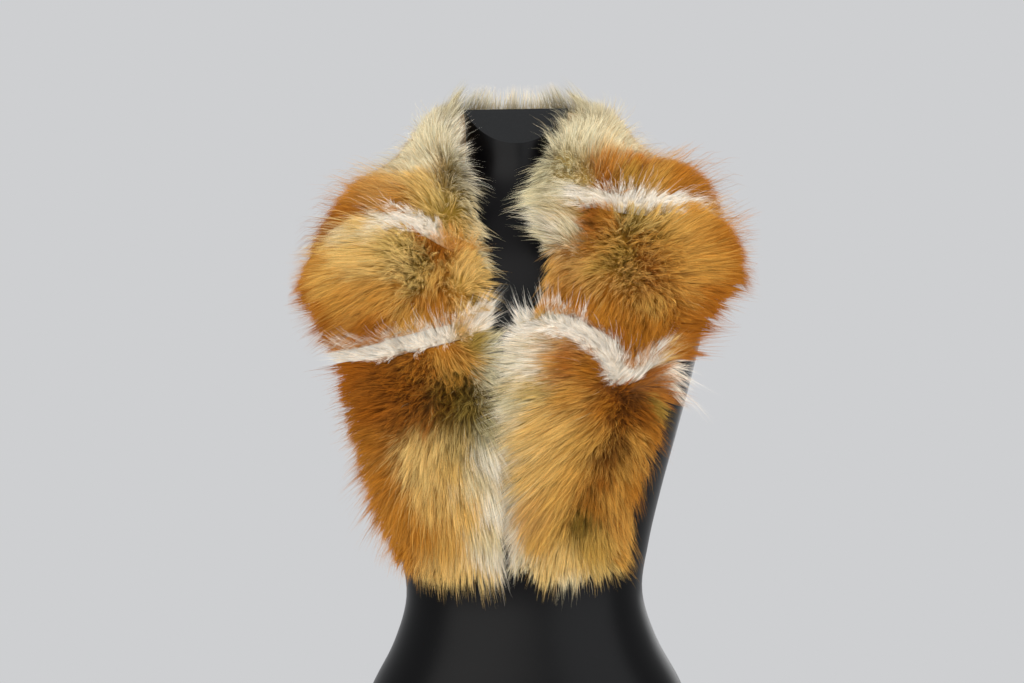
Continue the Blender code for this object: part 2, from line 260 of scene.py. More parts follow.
# Shader nodes. Value wraps a socket, so that sums are written as sums.
class Value:
    def __init__(self, sheet, socket):
        self.sheet, self.socket = sheet, socket

    def math(self, operation, first, second):
        return self.sheet.node("ShaderNodeMath", {"operation": operation}, {0: first, 1: second})

    def __add__(self, other):
        return self.math("ADD", self, other)

    def __radd__(self, other):
        return self.math("ADD", other, self)

    def __sub__(self, other):
        return self.math("SUBTRACT", self, other)

    def __rsub__(self, other):
        return self.math("SUBTRACT", other, self)

    def __mul__(self, other):
        return self.math("MULTIPLY", self, other)

    def __rmul__(self, other):
        return self.math("MULTIPLY", other, self)


class Sheet:  # one material and its nodes
    def __init__(self, name):
        self.material = bpy.data.materials.new(name)
        self.material.use_nodes = True
        self.tree = self.material.node_tree
        self.shader = self.tree.nodes["Principled BSDF"]

    def node(self, kind, settings=None, values=None, output=0):
        made = self.tree.nodes.new(kind)
        for key, value in (settings or {}).items():
            if key == "stops":
                for element, (place, colour) in zip(made.color_ramp.elements, value):
                    element.position, element.color = place, (*colour, 1)
            else:
                setattr(made, key, value)
        for key, value in (values or {}).items():
            self.feed(made.inputs[key], value)
        return Value(self, made.outputs[output])

    def feed(self, socket, value):
        if isinstance(value, Value):
            self.tree.links.new(value.socket, socket)
        else:
            socket.default_value = value

    def blend(self, factor, first, second, mode="MIX"):  # of two colours
        settings = {"data_type": "RGBA", "blend_type": mode}
        return self.node("ShaderNodeMix", settings, {0: factor, 6: first, 7: second}, 2)

    def place(self):
        return self.node("ShaderNodeTexCoord", output="Object")

    def noise(self, scale, detail, rough=0.5):
        values = {"Vector": self.place(), "Scale": scale, "Detail": detail, "Roughness": rough}
        return self.node("ShaderNodeTexNoise", None, values)

    def ramp(self, value, first, second):
        return self.node("ShaderNodeValToRGB", {"stops": (first, second)}, {0: value})

    def bump(self, height, strength, distance):
        return self.node("ShaderNodeBump", None, {"Height": height, "Strength": strength, "Distance": distance})

    def finish(self, **sockets):  # the shader's own sockets, with spaces for the capitals
        for key, value in sockets.items():
            name = "".join(" " + x if x.isupper() else x for x in key).strip().title()
            self.feed(self.shader.inputs[name.replace("Ior", "IOR")], value)
        return self.material


def linear(red, green, blue):  # a tone of 0 to 255 as the shaders want it
    tone = np.array([red, green, blue]) / 255
    return np.where(tone <= 0.04045, tone / 12.92, ((tone + 0.055) / 1.055) ** 2.4)


# The fur's tones, as seen in plain daylight.
furTones = {
    "white": (255, 245, 228),
    "cream": (240, 228, 190),
    "greyCream": (206, 198, 152),
    "straw": (242, 206, 130),
    "paleGold": (244, 202, 118),
    "gold": (228, 176, 86),
    "sand": (216, 164, 92),
    "amber": (206, 136, 44),
    "rust": (182, 106, 24),
    "deepRust": (152, 80, 12),
    "umber": (112, 58, 8),
    "darkBrown": (74, 40, 8),
    "oliveGold": (186, 154, 68),
    "olive": (120, 94, 22),
    "darkOlive": (70, 52, 8),
}
furLook = {
    "underShare": 0.34,  # the woolly underfur's height, as a share of the whole fur
    "underLeast": 0.002, "underGap": 0.0001, "underThin": 0.0006,
    "underTones": ((0.7, 0.4), (0.15, 0.5)),  # shares of the root's and the middle's tone, from its top to its rim; they add up to less than one, painted shade low in the coat
    "rootShare": 0.6,  # a strand starts this far up in the underfur
    "innerInset": (  # by row, in from the band's neck edge
        (2.0, 0.009), (2.6, 0.013), (3.2, 0.011), (5.2, 0.009), (5.8, 0.022), (8.2, 0.022), (8.8, 0.009),
        (10.7, 0.009), (11.0, 0.018), (11.5, 0.017), (11.8, 0.009),
    ),
    "outerInset": 0.018, "hemInset": 0.034,
    "rimRise": 0.012, "rimBreadth": 0.9,  # how far in from its rim the underfur reaches its full height
    "peltLift": 0.0003, "peltThick": 0.0012,
    "strandWidth": (0.00022, 0.00048), "taper": (1.0, 0.90, 0.58),
    "spans": (0, 0.36, 0.70, 1.0), "longShare": 0.14,  # strands with all three spans, the others have two
    "lengths": (0.86, 1.08), "heights": (0.66, 1.0), "lengthInHeight": 0.45,
    "lockSize": 0.0031, "lockPull": (0.10, 0.62), "lockCone": 0.34,  # small locks, each ending in a point
    "pullGrowth": 1.3,
    "lockSway": 0.0016, "strandSway": 0.0013,
    "rimFrom": (0.55, 0.85), "hemFrom": (0.2, 0.6),  # where a rim begins, across and in rows from a hem
    "rimPull": 0.42, "rimUneven": 0.32,  # at the hems and outer edges the locks are sharper and of uneven length
    "uprightReach": 0.011,  # hair that reaches less far than about this stands up
    "uprightPull": 0.35, "uprightSway": 0.0054, "uprightLocks": 1.5,  # in sharper and smaller locks
    "seamLean": (0.012, 0.010),  # this near a seam some hair leans over it, so far
    "leanShare": 0.5, "leanKeeps": (0.35, 0.6),  # and keeps so much of its own way along and across
    "stripSide": (0.84, 0.020),  # beside a strip the coat has this share of its height, rising again so far away
    "tressSize": 0.013, "tressSway": 0.0026, "tressHeights": (0.9, 1.08),  # larger tresses, which sway together
    "straightFrom": (0.5, 0.82), "straight": (0.45, 0.89),  # how far a strand keeps its line, more at the arm edge
    "rootFacing": 0.6,  # how much less a straight strand follows the facing at its root, and its tip's instead
    "flyFrom": (0.6, 0.9), "flyaway": (0.05, 0.10), "flyLength": 1.7,  # the share of loose strands, more at the edges
    "flyHeight": (1.15, 0.003), "flyPull": 0.15, "flyWidth": 0.7,
    "rowReach": 0.0062, "rowFall": 1.6,  # how softly the rows of lie blend into each other
    "streaks": 0.55, "streakSpread": 0.12, "streakFall": 1.8,  # the share of a lock's tones from a single row
    "darkLocks": (0.10, 0.72), "darkStrands": (0.05, 0.6),  # the share that is darker than the rest, and how dark
    "toneMix": ((0.75, 0, 0), (0.2, 0.8, 0), (0, 0.5, 0.5), (0, 0, 1)),  # root, middle and tip at each point; the root gets only three quarters of its tone, painted shade deep in the coat
    "strandShade": (0.12, 0.65, 1.35), "lockShade": (0.07, 0.8, 1.15), "tressShade": (0.92, 1.04), "warmth": 0.05,
    "roll": 0.6, "shadeFacing": 0.55,  # how far a strand turns on its axis, and how far it is lit as the coat is
    "boxSlack": 0.008,  # how far strands may reach past the solids' box
    "seed": 300,
}


def furMaterial():
    look = Sheet("foxFur")
    tone = look.node("ShaderNodeAttribute", {"attribute_name": "furTone"}, output="Color")
    shade = look.ramp(look.noise(900, 2), (0.3, (0.82, 0.82, 0.82)), (0.7, (1, 1, 1)))
    return look.finish(baseColor=look.blend(1, tone, shade, "MULTIPLY"), roughness=0.6, specularIorLevel=0.05)


def peltMaterial():
    look = Sheet("peltLeather")
    cloud = look.noise(28, 4)
    grain = look.noise(950, 3, rough=0.65)
    tone = look.ramp(cloud, (0.3, linear(176, 140, 100)), (0.7, linear(206, 174, 132)))
    pore = look.ramp(grain, (0.35, (0.78, 0.76, 0.74)), (0.6, (1, 1, 1)))
    return look.finish(
        baseColor=look.blend(0.8, tone, pore, "MULTIPLY"),
        roughness=0.82 + 0.12 * grain,
        normal=look.bump(grain + 0.5 * cloud, 0.35, 0.0006),
    )


furMaterials = {"fur": furMaterial(), "pelt": peltMaterial()}

# Each piece: its seams, how many strands, and how its fur lies. A row of lie is u, c, heading (degrees from
# straight to the arm edge round towards the hem), reach in mm, and the tones from the root to the tip, three
# or fewer, where the last one goes on to the tip.
rightFrontLower = {
    "name": "right_front_lower", "seams": (None, "right_strip_lower"), "slot": "fur_orange", "strands": 31000,
    "lie": [
        (2.12, 0.8, -10, 52, "deepRust rust"),
        (2, 0.55, 8, 30, "umber deepRust rust"),
        (1.93, 0.23, 15, 8, "darkBrown umber rust"),
        (1.98, -0.2, 50, 8, "umber deepRust amber"),
        (1.73, -0.1, 65, 4, "darkBrown umber rust"),
        (1.86, 0.04, 40, 4, "darkBrown umber rust"),
        (1.75, 0.15, 30, 5, "darkBrown umber rust"),
        (2.08, -0.42, 115, 24, "amber amber gold"),
        (2.03, -0.62, 124, 25, "deepRust amber gold"),
        (2.1, -0.74, -150, 20, "olive oliveGold"),
        (1.72, -0.62, 85, 4, "darkOlive darkOlive olive"),
        (1.58, -0.66, 95, 7, "darkOlive darkOlive oliveGold"),
        (1.6, -0.42, 80, 8, "darkBrown umber olive"),
        (1.72, -0.45, 60, 7, "darkOlive umber olive"),
        (1.85, -0.6, 110, 12, "darkOlive olive amber"),
        (2.08, -0.86, -150, 24, "olive greyCream cream"),
        (1.95, -0.92, 149, 20, "olive greyCream cream"),
        (1.83, -0.82, 140, 15, "olive greyCream cream"),
        (1.48, -0.78, 123, 20, "darkOlive olive greyCream"),
        (1.62, -0.93, -158, 18, "darkOlive olive greyCream"),
        (1.65, 0.35, 2, 26, "umber deepRust rust"),
        (1.88, 0.84, 8, 12, "deepRust rust"),
        (1.65, 0.78, 12, 15, "umber deepRust amber"),
        (1.43, 0.35, 8, 36, "umber deepRust amber"),
        (1.15, 0.33, 34, 38, "umber rust amber"),
        (1.55, 0.08, 50, 8, "darkBrown umber rust"),
        (1.53, -0.18, 80, 8, "darkBrown umber rust"),
        (1.4, -0.04, 76, 34, "gold paleGold straw"),
        (1.42, -0.28, 86, 30, "olive paleGold straw"),
        (1.22, -0.08, 82, 40, "gold paleGold straw"),
        (0.95, -0.12, 83, 42, "amber gold paleGold"),
        (0.78, 0.06, 84, 42, "rust amber"),
        (0.68, -0.2, 84, 42, "amber gold"),
        (1.36, -0.46, 98, 24, "darkOlive olive straw"),
        (1.22, -0.38, 94, 34, "olive gold paleGold"),
        (1.14, -0.6, 107, 34, "olive straw cream"),
        (0.9, -0.48, 100, 36, "olive gold paleGold"),
        (1.25, -0.78, 110, 32, "greyCream cream white"),
        (0.9, -0.8, 102, 38, "cream cream white"),
        (0.7, -0.68, 98, 38, "oliveGold straw cream"),
        (0.5, -0.84, 103, 34, "greyCream cream white"),
        (0.9, 0.23, 64, 42, "deepRust amber"),
        (0.5, 0.48, 66, 20, "rust amber"),
        (0.36, 0.05, 85, 24, "amber gold straw"),
        (0.38, -0.38, 89, 29, "amber paleGold straw"),
        (0.3, -0.62, 94, 27, "olive straw"),
        (1.2, 0.78, 22, 50, "umber rust amber"),
        (0.85, 0.74, 36, 54, "umber rust amber"),
        (0.48, 0.78, 48, 40, "deepRust rust amber"),
    ],
}
rightStripLower = {
    "name": "right_strip_lower", "seams": ("right_strip_lower",), "slot": "fur_white", "strands": 7000,
    "fan": (0.014, 0.003), "pull": (0.05, 0.45), "sway": 0.4, "cone": 0.3, "darkShare": 0, "lift": 0.84,
    "lie": [
        (2.23, 0.85, -22, 38, "white"),
        (2.18, 0.42, -52, 22, "white"),
        (2.17, 0.16, -60, 9, "white"),
        (2.16, 0.02, -100, 12, "white"),
        (2.17, -0.16, -80, 9, "white"),
        (2.19, -0.28, -95, 13, "white"),
        (2.2, -0.42, -88, 10, "white"),
        (2.21, -0.52, -95, 12, "white"),
        (2.22, -0.63, -95, 8, "oliveGold gold"),
        (2.3, -0.74, -118, 18, "straw white"),
        (2.34, -0.84, -140, 24, "straw white"),
    ],
}
rightFrontUpper = {
    "name": "right_front_upper", "seams": ("right_strip_lower", "right_strip_upper"), "slot": "fur_orange",
    "strands": 28000, "past": (0.002, 0.006),
    "lie": [
        (2.98, -0.28, 90, 3, "olive straw"),
        (3.12, -0.22, -90, 5, "olive oliveGold straw"),
        (2.95, -0.4, 180, 5, "darkOlive oliveGold straw"),
        (2.76, -0.33, 90, 6, "olive oliveGold straw"),
        (2.86, -0.24, 80, 5, "olive straw paleGold"),
        (3.1, -0.36, -60, 4, "darkOlive oliveGold straw"),
        (3.22, -0.3, -80, 7, "olive oliveGold straw"),
        (3.02, -0.06, -7, 28, "oliveGold gold straw"),
        (3.15, 0.12, -12, 42, "gold paleGold"),
        (3.3, 0.4, -20, 42, "amber gold amber"),
        (3.35, 0.72, -22, 46, "amber amber rust"),
        (3.5, 0.9, -30, 46, "rust"),
        (3.6, 0.18, -30, 34, "gold paleGold cream"),
        (3.48, -0.1, -20, 22, "gold straw cream"),
        (3.75, 0.6, -30, 36, "amber gold amber"),
        (2.73, 0.5, 11, 40, "deepRust rust"),
        (2.5, 0.78, 9, 36, "deepRust rust"),
        (3, 0.82, -10, 39, "rust"),
        (2.43, 0.1, 35, 30, "deepRust rust"),
        (2.48, -0.28, 75, 26, "rust amber gold"),
        (2.7, -0.05, 45, 34, "amber gold amber"),
        (2.78, 0.25, 22, 42, "amber gold amber"),
        (2.95, 0.35, 5, 44, "amber gold"),
        (2.4, -0.57, 100, 22, "deepRust rust amber"),
        (3.3, -0.45, 70, 16, "deepRust rust"),
        (3.1, -0.52, 80, 22, "deepRust rust"),
        (2.85, -0.52, 70, 26, "amber gold"),
        (2.62, -0.45, 75, 28, "rust rust amber"),
        (2.9, -0.72, -122, 26, "amber gold paleGold"),
        (2.75, -0.72, -115, 22, "oliveGold gold straw"),
        (3.23, -0.8, -124, 24, "rust amber gold"),
        (3.08, -0.9, 154, 18, "olive oliveGold straw"),
        (2.7, -0.9, 160, 21, "olive gold straw"),
        (2.9, -0.9, 165, 21, "olive gold straw"),
        (2.52, -0.84, 140, 16, "olive oliveGold gold"),
        (2.5, -0.7, 115, 20, "amber gold straw"),
    ],
}
rightStripUpper = {
    "name": "right_strip_upper", "seams": ("right_strip_upper",), "slot": "fur_white", "strands": 7600,
    "fan": (0.004, 0.004), "pull": (0.0, 0.4), "cone": 0.3, "darkShare": 0.01, "lift": 0.75,
    "lie": [
        (3.07, -0.92, 150, 20, "olive greyCream cream"),
        (3.15, -0.78, -120, 14, "rust amber gold"),
        (3.22, -0.66, -90, 8, "amber gold amber"),
        (3.3, -0.56, -70, 8, "cream white"),
        (3.42, -0.42, 0, 9, "white"),
        (3.52, -0.28, -10, 11, "white"),
        (3.58, -0.14, -22, 14, "straw cream white"),
        (3.61, 0.02, -25, 24, "gold paleGold straw"),
        (3.63, 0.2, -25, 30, "gold paleGold cream"),
        (3.68, 0.42, -25, 34, "amber gold paleGold"),
        (3.85, 0.65, -25, 34, "amber amber rust"),
        (4.05, 0.9, -20, 32, "deepRust rust"),
    ],
}
rightShoulder = {
    "name": "right_shoulder", "seams": ("right_strip_upper", "right_strip_back"), "slot": "fur_orange",
    "strands": 30000, "past": (0.006, 0.002), "trimmed": [(4.52, -0.40, 0.032, 0.30), (5.15, -0.35, 0.040, 0.40)],
    "lie": [
        (4.1, 0.23, -45, 34, "amber rust"),
        (4.17, 0.03, -50, 38, "sand amber"),
        (4.08, -0.2, -40, 34, "sand sand amber"),
        (4.22, -0.46, -76, 30, "gold cream"),
        (4.36, -0.6, -80, 30, "straw cream"),
        (4.1, -0.3, -60, 35, "sand gold sand"),
        (3.95, -0.52, -30, 28, "oliveGold gold straw"),
        (3.75, -0.36, 12, 26, "umber amber"),
        (3.73, -0.55, -45, 16, "oliveGold gold straw"),
        (3.58, -0.65, -60, 20, "olive oliveGold straw"),
        (4.3, -0.7, -80, 30, "gold cream"),
        (4.16, -0.58, -70, 28, "gold cream"),
        (4.24, -0.74, 75, 3, "darkOlive darkOlive olive"),
        (3.98, -0.79, 110, 6, "darkOlive darkOlive olive"),
        (4.12, -0.66, -60, 20, "gold cream"),
        (4.1, -0.86, 145, 26, "olive greyCream white"),
        (3.92, -0.88, 144, 28, "olive greyCream white"),
        (3.85, -0.86, 130, 22, "darkOlive olive cream"),
        (3.62, -0.82, 116, 18, "olive oliveGold cream"),
        (3.42, -0.9, 140, 22, "olive straw cream"),
        (3.44, -0.74, 99, 16, "olive gold straw"),
        (4.5, -0.78, -95, 28, "straw cream"),
        (4.3, -0.87, 172, 26, "greyCream cream white"),
        (4.5, -0.87, 180, 26, "greyCream cream white"),
        (4.75, -0.87, -170, 28, "greyCream cream white"),
        (4.8, -0.9, 180, 28, "oliveGold cream"),
        (4.6, -0.7, -100, 22, "straw cream"),
        (3.8, 0.05, -13, 34, "umber rust"),
        (3.95, 0.35, -20, 34, "deepRust rust"),
        (4.3, 0.55, -25, 34, "amber rust"),
        (4.6, 0.82, -5, 32, "deepRust rust deepRust"),
        (4.9, 0, -35, 34, "amber amber rust"),
        (5.2, 0.35, 0, 34, "amber rust"),
        (5.3, -0.3, 0, 28, "gold cream sand"),
        (4.75, -0.45, -60, 26, "gold cream"),
        (5.05, -0.6, -20, 24, "gold cream"),
        (5.5, 0.8, 5, 32, "deepRust rust"),
        (5.4, -0.9, 180, 36, "olive cream"),
    ],
}
rightStripBack = {
    "name": "right_strip_back", "seams": ("right_strip_back",), "slot": "fur_white", "strands": 4600,
    "fan": (0.006, 0.006), "pull": (0.0, 0.2), "loose": 3, "lie": [
        (5.76, -0.86, 180, 32, "oliveGold cream white"),
        (5.8, -0.45, 0, 14, "cream white"),
        (5.9, 0, 0, 22, "cream white"),
        (6.05, 0.85, 0, 28, "cream white"),
    ],
}
backCollar = {
    "name": "back_collar", "seams": ("right_strip_back", "left_strip_back"), "slot": "fur_cream", "strands": 33000,
    "pull": (0.0, 0.2), "loose": 3.5,
    "lie": [
        (6.2, -0.86, 180, 46, "olive greyCream white"),
        (7, -0.86, 180, 46, "olive cream white"),
        (7.8, -0.86, 180, 46, "olive greyCream white"),
        (6.4, -0.58, 0, 8, "olive cream white"),
        (7, -0.58, 0, 8, "oliveGold cream white"),
        (7.6, -0.58, 0, 8, "olive cream white"),
        (6.3, -0.3, -5, 26, "oliveGold cream"),
        (7, -0.3, 0, 28, "olive straw cream"),
        (7.7, -0.3, -5, 26, "oliveGold cream"),
        (7, 0.05, 0, 36, "olive gold cream"),
        (6.4, 0.15, 0, 36, "oliveGold straw cream"),
        (7.6, 0.15, 0, 36, "oliveGold straw cream"),
        (7, 0.5, 0, 38, "oliveGold straw cream"),
        (6.3, 0.6, 5, 36, "gold cream"),
        (7.7, 0.6, 5, 36, "gold cream"),
        (7, 0.9, 0, 34, "greyCream cream white"),
    ],
}
leftStripBack = {
    "name": "left_strip_back", "seams": ("left_strip_back",), "slot": "fur_white", "strands": 4600,
    "fan": (0.006, 0.006), "pull": (0.0, 0.2), "loose": 3, "lie": [
        (8.24, -0.86, 180, 32, "oliveGold cream white"),
        (8.2, -0.45, 0, 14, "cream white"),
        (8.1, 0, 0, 22, "cream white"),
        (7.95, 0.85, 0, 28, "cream white"),
    ],
}
leftShoulder = {
    "name": "left_shoulder", "seams": ("left_strip_back", "left_strip_upper"), "slot": "fur_orange",
    "strands": 30000, "past": (0.002, 0.006), "trimmed": [(9.30, -0.38, 0.038, 0.38), (8.80, -0.30, 0.042, 0.45)],
    "lie": [
        (9.2, -0.92, 180, 26, "olive cream"),
        (9.6, -0.93, -150, 26, "olive cream"),
        (9.73, -0.72, -85, 26, "oliveGold cream"),
        (9.3, -0.6, -60, 26, "gold cream"),
        (9.97, -0.74, 110, 12, "oliveGold greyCream cream"),
        (10.1, -0.74, 140, 20, "oliveGold cream"),
        (9.9, -0.92, 142, 24, "olive greyCream cream"),
        (10.1, -0.92, 154, 24, "olive greyCream cream"),
        (10.02, -0.46, -100, 16, "deepRust rust amber"),
        (9.8, -0.47, -85, 24, "gold straw cream"),
        (10.12, -0.28, -88, 16, "olive oliveGold amber"),
        (9.9, -0.28, -90, 26, "deepRust rust"),
        (10, -0.08, -70, 28, "oliveGold gold amber"),
        (9.83, 0.02, -73, 32, "amber amber rust"),
        (9.7, 0.17, -70, 36, "amber amber rust"),
        (10.14, -0.58, 128, 16, "oliveGold straw cream"),
        (10.19, -0.77, 150, 14, "darkOlive olive greyCream"),
        (10.2, -0.47, 104, 12, "deepRust rust amber"),
        (9.43, 0.33, -66, 42, "amber amber rust"),
        (9, 0, -40, 34, "amber gold rust"),
        (9.28, 0.74, -46, 46, "amber rust"),
        (9, 0.6, -32, 40, "amber rust"),
        (8.5, 0.3, 0, 34, "amber gold amber"),
        (8.5, -0.5, 0, 26, "gold cream sand"),
        (8.5, 0.85, 0, 32, "deepRust rust"),
        (8.6, -0.9, 180, 36, "olive cream"),
    ],
}
leftStripUpper = {
    "name": "left_strip_upper", "seams": ("left_strip_upper",), "slot": "fur_white", "strands": 8400,
    "fan": (0.003, 0.001), "pull": (0.15, 0.6), "cone": 0.3, "darkShare": 0.01, "lift": 0.72,
    "lie": [
        (10.2, -0.95, 165, 26, "olive greyCream cream"),
        (10.26, -0.76, 175, 24, "olive cream"),
        (10.34, -0.56, 172, 22, "cream white"),
        (10.38, -0.4, -160, 13, "white"),
        (10.38, -0.26, -100, 9, "white"),
        (10.36, -0.14, -72, 9, "white"),
        (10.3, 0.05, -20, 11, "white"),
        (10, 0.25, -20, 18, "cream white"),
        (9.6, 0.45, -35, 30, "gold cream amber"),
        (9.2, 0.85, -40, 42, "amber rust"),
    ],
}
leftFrontUpper = {
    "name": "left_front_upper", "seams": ("left_strip_upper", "left_strip_lower"), "slot": "fur_orange",
    "strands": 34000, "past": (0.013, 0.002),
    "lie": [
        (10.32, -0.95, 165, 28, "olive greyCream cream"),
        (10.48, -0.95, -170, 30, "olive greyCream white"),
        (10.45, -0.82, -154, 28, "olive oliveGold cream"),
        (10.68, -0.82, -142, 30, "olive cream white"),
        (10.74, -0.68, -130, 26, "oliveGold cream"),
        (10.72, -0.95, 175, 28, "olive greyCream cream"),
        (10.52, -0.54, 163, 14, "deepRust rust"),
        (10.54, -0.68, 165, 24, "oliveGold gold cream"),
        (10.68, -0.54, 176, 10, "deepRust rust"),
        (10.86, -0.55, 165, 11, "deepRust rust amber"),
        (10.6, -0.42, 178, 24, "deepRust amber"),
        (10.9, -0.38, 174, 22, "olive amber gold"),
        (10.49, -0.22, -90, 16, "darkOlive oliveGold straw"),
        (10.48, -0.02, -80, 19, "olive gold straw"),
        (10.6, -0.26, 86, 4, "darkOlive oliveGold straw"),
        (10.7, -0.22, 30, 5, "olive oliveGold straw"),
        (10.74, -0.02, -20, 6, "olive gold"),
        (10.82, -0.14, 150, 4, "rust amber gold"),
        (10.92, 0.02, 0, 4, "deepRust amber gold"),
        (11.04, 0.1, 20, 6, "deepRust amber gold"),
        (11.02, -0.08, 170, 5, "deepRust amber sand"),
        (11.16, -0.16, 100, 5, "olive gold sand"),
        (11.22, 0.02, 60, 7, "umber amber sand"),
        (11, -0.25, 161, 10, "olive oliveGold gold"),
        (11.12, -0.4, 165, 16, "olive oliveGold gold"),
        (11.08, -0.5, 142, 26, "amber gold sand"),
        (11.24, -0.34, 112, 22, "amber gold sand"),
        (10.98, -0.86, 108, 31, "deepRust amber gold"),
        (11.43, -0.7, 87, 32, "rust amber"),
        (11.43, -0.88, 88, 32, "rust amber gold"),
        (11.6, -0.76, 88, 26, "amber gold straw"),
        (11.43, -0.45, 84, 34, "deepRust rust amber"),
        (11.68, -0.32, 73, 28, "deepRust rust"),
        (11.68, -0.07, 76, 28, "deepRust rust"),
        (11.62, 0.18, 79, 30, "deepRust rust amber"),
        (11.5, 0.33, 102, 30, "deepRust rust amber"),
        (11.38, 0.15, 60, 28, "amber gold"),
        (11.5, -0.2, 84, 32, "rust amber"),
        (10.45, 0.23, -46, 34, "gold gold amber"),
        (10.55, 0.4, -45, 34, "gold amber rust"),
        (10.4, 0.65, -30, 42, "amber rust"),
        (9.75, 0.8, -28, 50, "amber rust"),
        (10.95, 0.38, -18, 34, "gold gold amber"),
        (11.03, 0.75, -12, 34, "amber amber rust"),
        (11.3, 0.65, 7, 34, "amber rust"),
        (11.66, 0.72, -18, 44, "deepRust rust"),
        (11.5, 0.84, 11, 40, "rust"),
        (11.72, -0.82, 95, 8, "darkOlive olive oliveGold"),
        (11.66, -0.94, -128, 26, "greyCream cream white"),
    ],
}
leftStripLower = {
    "name": "left_strip_lower", "seams": ("left_strip_lower",), "slot": "fur_white", "strands": 8000,
    "fan": (0.009, 0.006), "pull": (0.0, 0.4), "cone": 0.3, "darkShare": 0, "lift": 0.82,
    "lie": [
        (11.78, -0.88, -122, 28, "greyCream white"),
        (11.92, -0.88, 170, 28, "cream white"),
        (11.66, -0.72, -112, 18, "greyCream white"),
        (11.78, -0.7, 176, 22, "white"),
        (11.7, -0.44, -100, 12, "white"),
        (11.8, -0.46, -176, 18, "white"),
        (11.84, -0.26, -158, 20, "white"),
        (11.92, -0.1, -150, 20, "white"),
        (12.03, 0.12, -140, 16, "white"),
        (12.14, 0.2, 160, 18, "white"),
        (12.17, 0.31, -88, 17, "white"),
        (12.1, 0.41, -84, 25, "cream white"),
        (12.02, 0.51, -80, 27, "cream white"),
        (11.98, 0.6, -60, 26, "gold gold straw"),
        (11.93, 0.68, -25, 30, "deepRust rust amber"),
        (11.88, 0.78, 0, 40, "deepRust rust"),
    ],
}
leftFrontLower = {
    "name": "left_front_lower", "seams": ("left_strip_lower", None), "slot": "fur_orange", "strands": 33000,
    "past": (0.013, 0.002),
    "lie": [
        (12.1, -0.9, 175, 21, "greyCream cream white"),
        (12.23, -0.8, 165, 25, "oliveGold straw cream"),
        (12.45, -0.9, 158, 26, "greyCream cream white"),
        (12.75, -0.9, 148, 36, "greyCream cream white"),
        (13.05, -0.88, 135, 36, "greyCream cream white"),
        (13.35, -0.88, 123, 30, "greyCream cream white"),
        (13.56, -0.86, 114, 32, "greyCream cream white"),
        (13.62, -0.68, 96, 6, "olive straw cream"),
        (12.05, -0.44, 176, 26, "rust amber gold"),
        (12.04, -0.55, 176, 26, "straw cream white"),
        (12.05, -0.66, 176, 26, "straw cream white"),
        (12.08, -0.8, 176, 22, "greyCream cream white"),
        (12.34, -0.72, 165, 32, "olive greyCream cream"),
        (12.55, -0.76, 156, 34, "oliveGold straw cream"),
        (12.06, -0.32, 176, 28, "deepRust rust"),
        (12.12, -0.02, 180, 30, "deepRust rust amber"),
        (12.28, -0.5, 168, 30, "olive oliveGold straw"),
        (12.3, -0.12, 168, 34, "rust amber gold"),
        (12.48, -0.4, 152, 40, "amber gold paleGold"),
        (12.55, -0.12, 150, 40, "gold gold paleGold"),
        (12.62, -0.6, 152, 36, "oliveGold paleGold straw"),
        (12.75, -0.2, 138, 42, "gold gold paleGold"),
        (12.88, -0.55, 140, 40, "olive gold paleGold"),
        (12.92, -0.74, 140, 38, "oliveGold straw cream"),
        (13, -0.15, 126, 42, "amber gold"),
        (13.12, -0.4, 124, 42, "gold gold sand"),
        (13.35, -0.45, 110, 40, "amber gold"),
        (12.25, 0.32, -60, 9, "darkBrown deepRust rust"),
        (12.36, 0.44, 90, 6, "darkBrown darkBrown umber"),
        (12.48, 0.41, 92, 6, "darkBrown umber rust"),
        (12.6, 0.37, 92, 7, "darkBrown darkBrown umber"),
        (12.74, 0.3, 94, 9, "darkBrown umber"),
        (12.9, 0.26, 95, 14, "darkBrown umber rust"),
        (13.06, 0.2, 98, 22, "darkBrown umber amber"),
        (12.38, 0.26, 150, 24, "deepRust rust amber"),
        (12.56, 0.24, 140, 26, "deepRust amber gold"),
        (12.84, 0.13, 124, 30, "rust amber gold"),
        (12.58, 0.06, 144, 36, "amber gold"),
        (12.8, 0, 130, 38, "amber gold"),
        (12.4, 0.54, 30, 20, "darkBrown deepRust rust"),
        (12.58, 0.48, 50, 26, "umber amber gold"),
        (12.78, 0.43, 64, 28, "umber amber gold"),
        (13, 0.38, 70, 32, "umber amber gold"),
        (12.14, 0.54, -62, 30, "umber deepRust rust"),
        (12.07, 0.6, -52, 40, "deepRust rust amber"),
        (12.03, 0.7, 20, 56, "straw white"),
        (12.12, 0.76, 40, 58, "cream white"),
        (12.26, 0.7, 8, 34, "umber rust"),
        (12.36, 0.66, 10, 20, "umber olive oliveGold"),
        (12.5, 0.72, 43, 30, "umber rust amber"),
        (12.9, 0.68, 52, 40, "umber rust amber"),
        (13.28, 0.7, 56, 44, "umber rust gold"),
        # A shadow streak painted into the coat as a row of dark olive hair.
        (13.24, 0.02, 118, 16, "darkOlive darkOlive olive"),
        (13.24, -0.14, 122, 36, "amber gold"),
        (13.42, 0.22, 88, 30, "darkOlive oliveGold gold"),
        (13.62, -0.4, 98, 28, "gold paleGold straw"),
        (13.72, -0.08, 88, 23, "gold straw cream"),
        (13.5, -0.14, 100, 28, "gold paleGold straw"),
        (13.72, 0.42, 76, 21, "darkOlive oliveGold straw"),
        (13.62, 0.74, 50, 28, "deepRust amber gold"),
    ],
}
furPieces = [
    rightFrontLower, rightStripLower, rightFrontUpper, rightStripUpper, rightShoulder, rightStripBack, backCollar,
    leftStripBack, leftShoulder, leftStripUpper, leftFrontUpper, leftStripLower, leftFrontLower,
]


